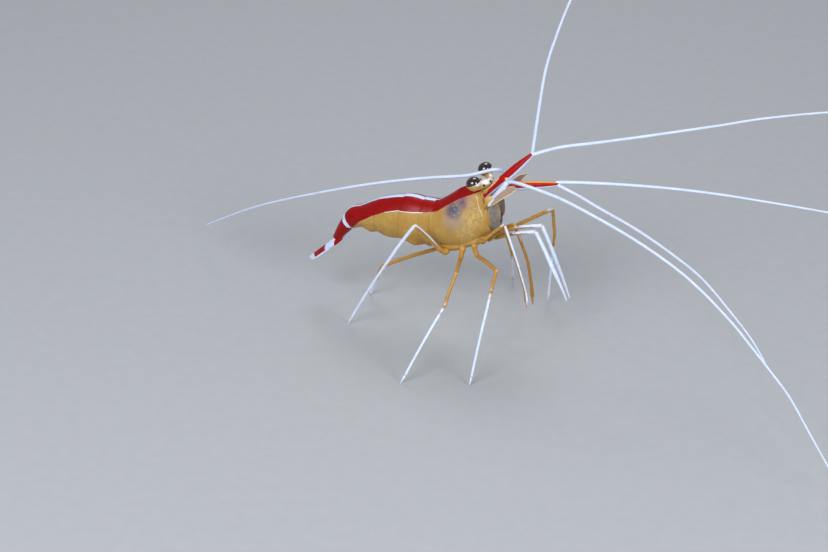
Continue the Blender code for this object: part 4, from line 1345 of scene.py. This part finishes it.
def swimming_legs():
    """Five pairs of paddles folded up under the abdomen: a stout stem and two fringed leaves."""
    for number, size in enumerate((2.9, 3.2, 3.2, 2.8, 2.2)):
        x, z, wide, high, _ = hoop(ABDOMEN, number + 0.45)
        for side, sign in SIDES:
            root = Vector((x + 0.5, sign * wide * 0.34, z - high * 0.72))
            knee = root + Vector((-size * 0.2, sign * 0.1, -size * 0.14))
            stem = pod("stem", root, knee, [(-0.3, 0.4), (0.2, 0.62), (0.8, 0.55), (1.0, 0.35)])
            note(stem, "across", 0.2)
            note(stem, "along", 0.4)
            parts, hairs = [stem], []
            for spread in (-0.3, 0.4):
                base = knee + Vector((0.1, sign * spread * 0.5, 0.1))
                tip = base + Vector((-size * 0.8, sign * spread * 1.2, size * 0.02 - 0.1))
                facing = (0.1, sign * 0.3, 1)
                width = size * 0.34
                parts.append(flat_piece(LEAF, "paddle", base, tip, facing, width, wall=0.12))
                hairs += fringe(base, tip, facing, width, spacing=0.2, length=0.3, start=0.5)
            name = f"pleopod_{side}_{number + 1}"
            hand_over(join(parts, name), PLATE_AMBER, "amber_shell")
            hand_over(join(hairs, name + "_fringe"), BRISTLE_AMBER, "amber_shell")


ARTICLE = limb_master()
DACTYL = claw_master()
BRISTLE_SHAPE = bristle_master()
LEAF = leaf_master("leaf", LEAF_WAIST, rib=0.09, camber=0.25)
SCALE_LEAF = leaf_master("scale_leaf", 0.55, rib=0.1, camber=0.12, straight=True)
TELSON_LEAF = leaf_master("telson_leaf", 0.8, rib=0.14, camber=0.4)

carapace()
belly()
for number in range(1, len(ABDOMEN)):
    abdomen_plate(number)
rostrum()
face()
ocular_saddle()
mouthparts()
for side, sign in SIDES:
    eye(side, sign)
    antennule(side, sign)
    antenna(side, sign)
    antennal_scale(side, sign)
for name, points in FEELERS.items():
    feeler(name, points)
for name, knots in LEGS.items():
    limb(name, knots)
tail_fan()
swimming_legs()
for master in (ARTICLE, DACTYL, BRISTLE_SHAPE, LEAF, SCALE_LEAF, TELSON_LEAF):
    bpy.data.objects.remove(master, do_unlink=True)


# ---------------------------------------------------------------- camera, floor and light

CAMERA_AIM = (-1.6, -9.9, 17.4)
CAMERA_AZIMUTH, CAMERA_ELEVATION = 24.0, 30.0
CAMERA_DISTANCE = 0.506          # metres


def direction(azimuth, elevation):
    """The unit vector towards a viewer there: azimuth 0 looks along +Y."""
    a, e = math.radians(azimuth), math.radians(elevation)
    return Vector((math.sin(a) * math.cos(e), -math.cos(a) * math.cos(e), math.sin(e)))


def stand(name, data, aim, azimuth, elevation, distance):
    """Stands a camera or lamp at its distance, in metres, from the point it faces."""
    piece = bpy.data.objects.new(name, data)
    back = direction(azimuth, elevation)
    piece.location = at(aim) + back * distance
    piece.rotation_euler = (-back).to_track_quat("-Z", "Y").to_euler()
    bpy.context.scene.collection.objects.link(piece)
    return piece


def camera():
    """A long lens above the animal's right side, a little ahead of it."""
    data = bpy.data.cameras.new("camera")
    data.lens, data.sensor_width = 100.0, 36.0
    data.clip_start, data.clip_end = 0.01, 10.0
    bpy.context.scene.camera = stand("camera", data, CAMERA_AIM, CAMERA_AZIMUTH,
                                     CAMERA_ELEVATION, CAMERA_DISTANCE)


def floor():
    """A plain pale studio floor."""
    piece = primitive(bpy.ops.mesh.primitive_plane_add, "studio_floor", size=6.0)
    material, tree, broad = new_finish("matt_board", ((3.0, 2),), roughness=0.85,
                                       specular_ior_level=0.2)
    piece.data.materials.append(finished(material, layer(tree, "#9A9DA1", "#A0A3A7", broad)))


def lamp(name, azimuth, elevation, distance, size, power):
    """A square softbox that faces the animal; sizes in metres, power in watts."""
    data = bpy.data.lights.new(name, "AREA")
    data.size, data.energy = size, power
    stand(name, data, (0, 0, 25), azimuth, elevation, distance)


camera()
floor()
lamp("softbox_left", -8, 38, distance=0.6, size=0.3, power=3.2)
lamp("softbox_right", 65, 28, distance=0.6, size=0.2, power=1.8)
lamp("softbox_back", 200, 55, distance=0.7, size=0.3, power=1.6)
world = bpy.data.worlds.new("studio")
world.use_nodes = True
background = world.node_tree.nodes["Background"]
background.inputs["Color"].default_value = colour("#D5DAE2")
background.inputs["Strength"].default_value = 0.5
bpy.context.scene.world = world
bpy.context.scene.view_settings.view_transform = "Standard"
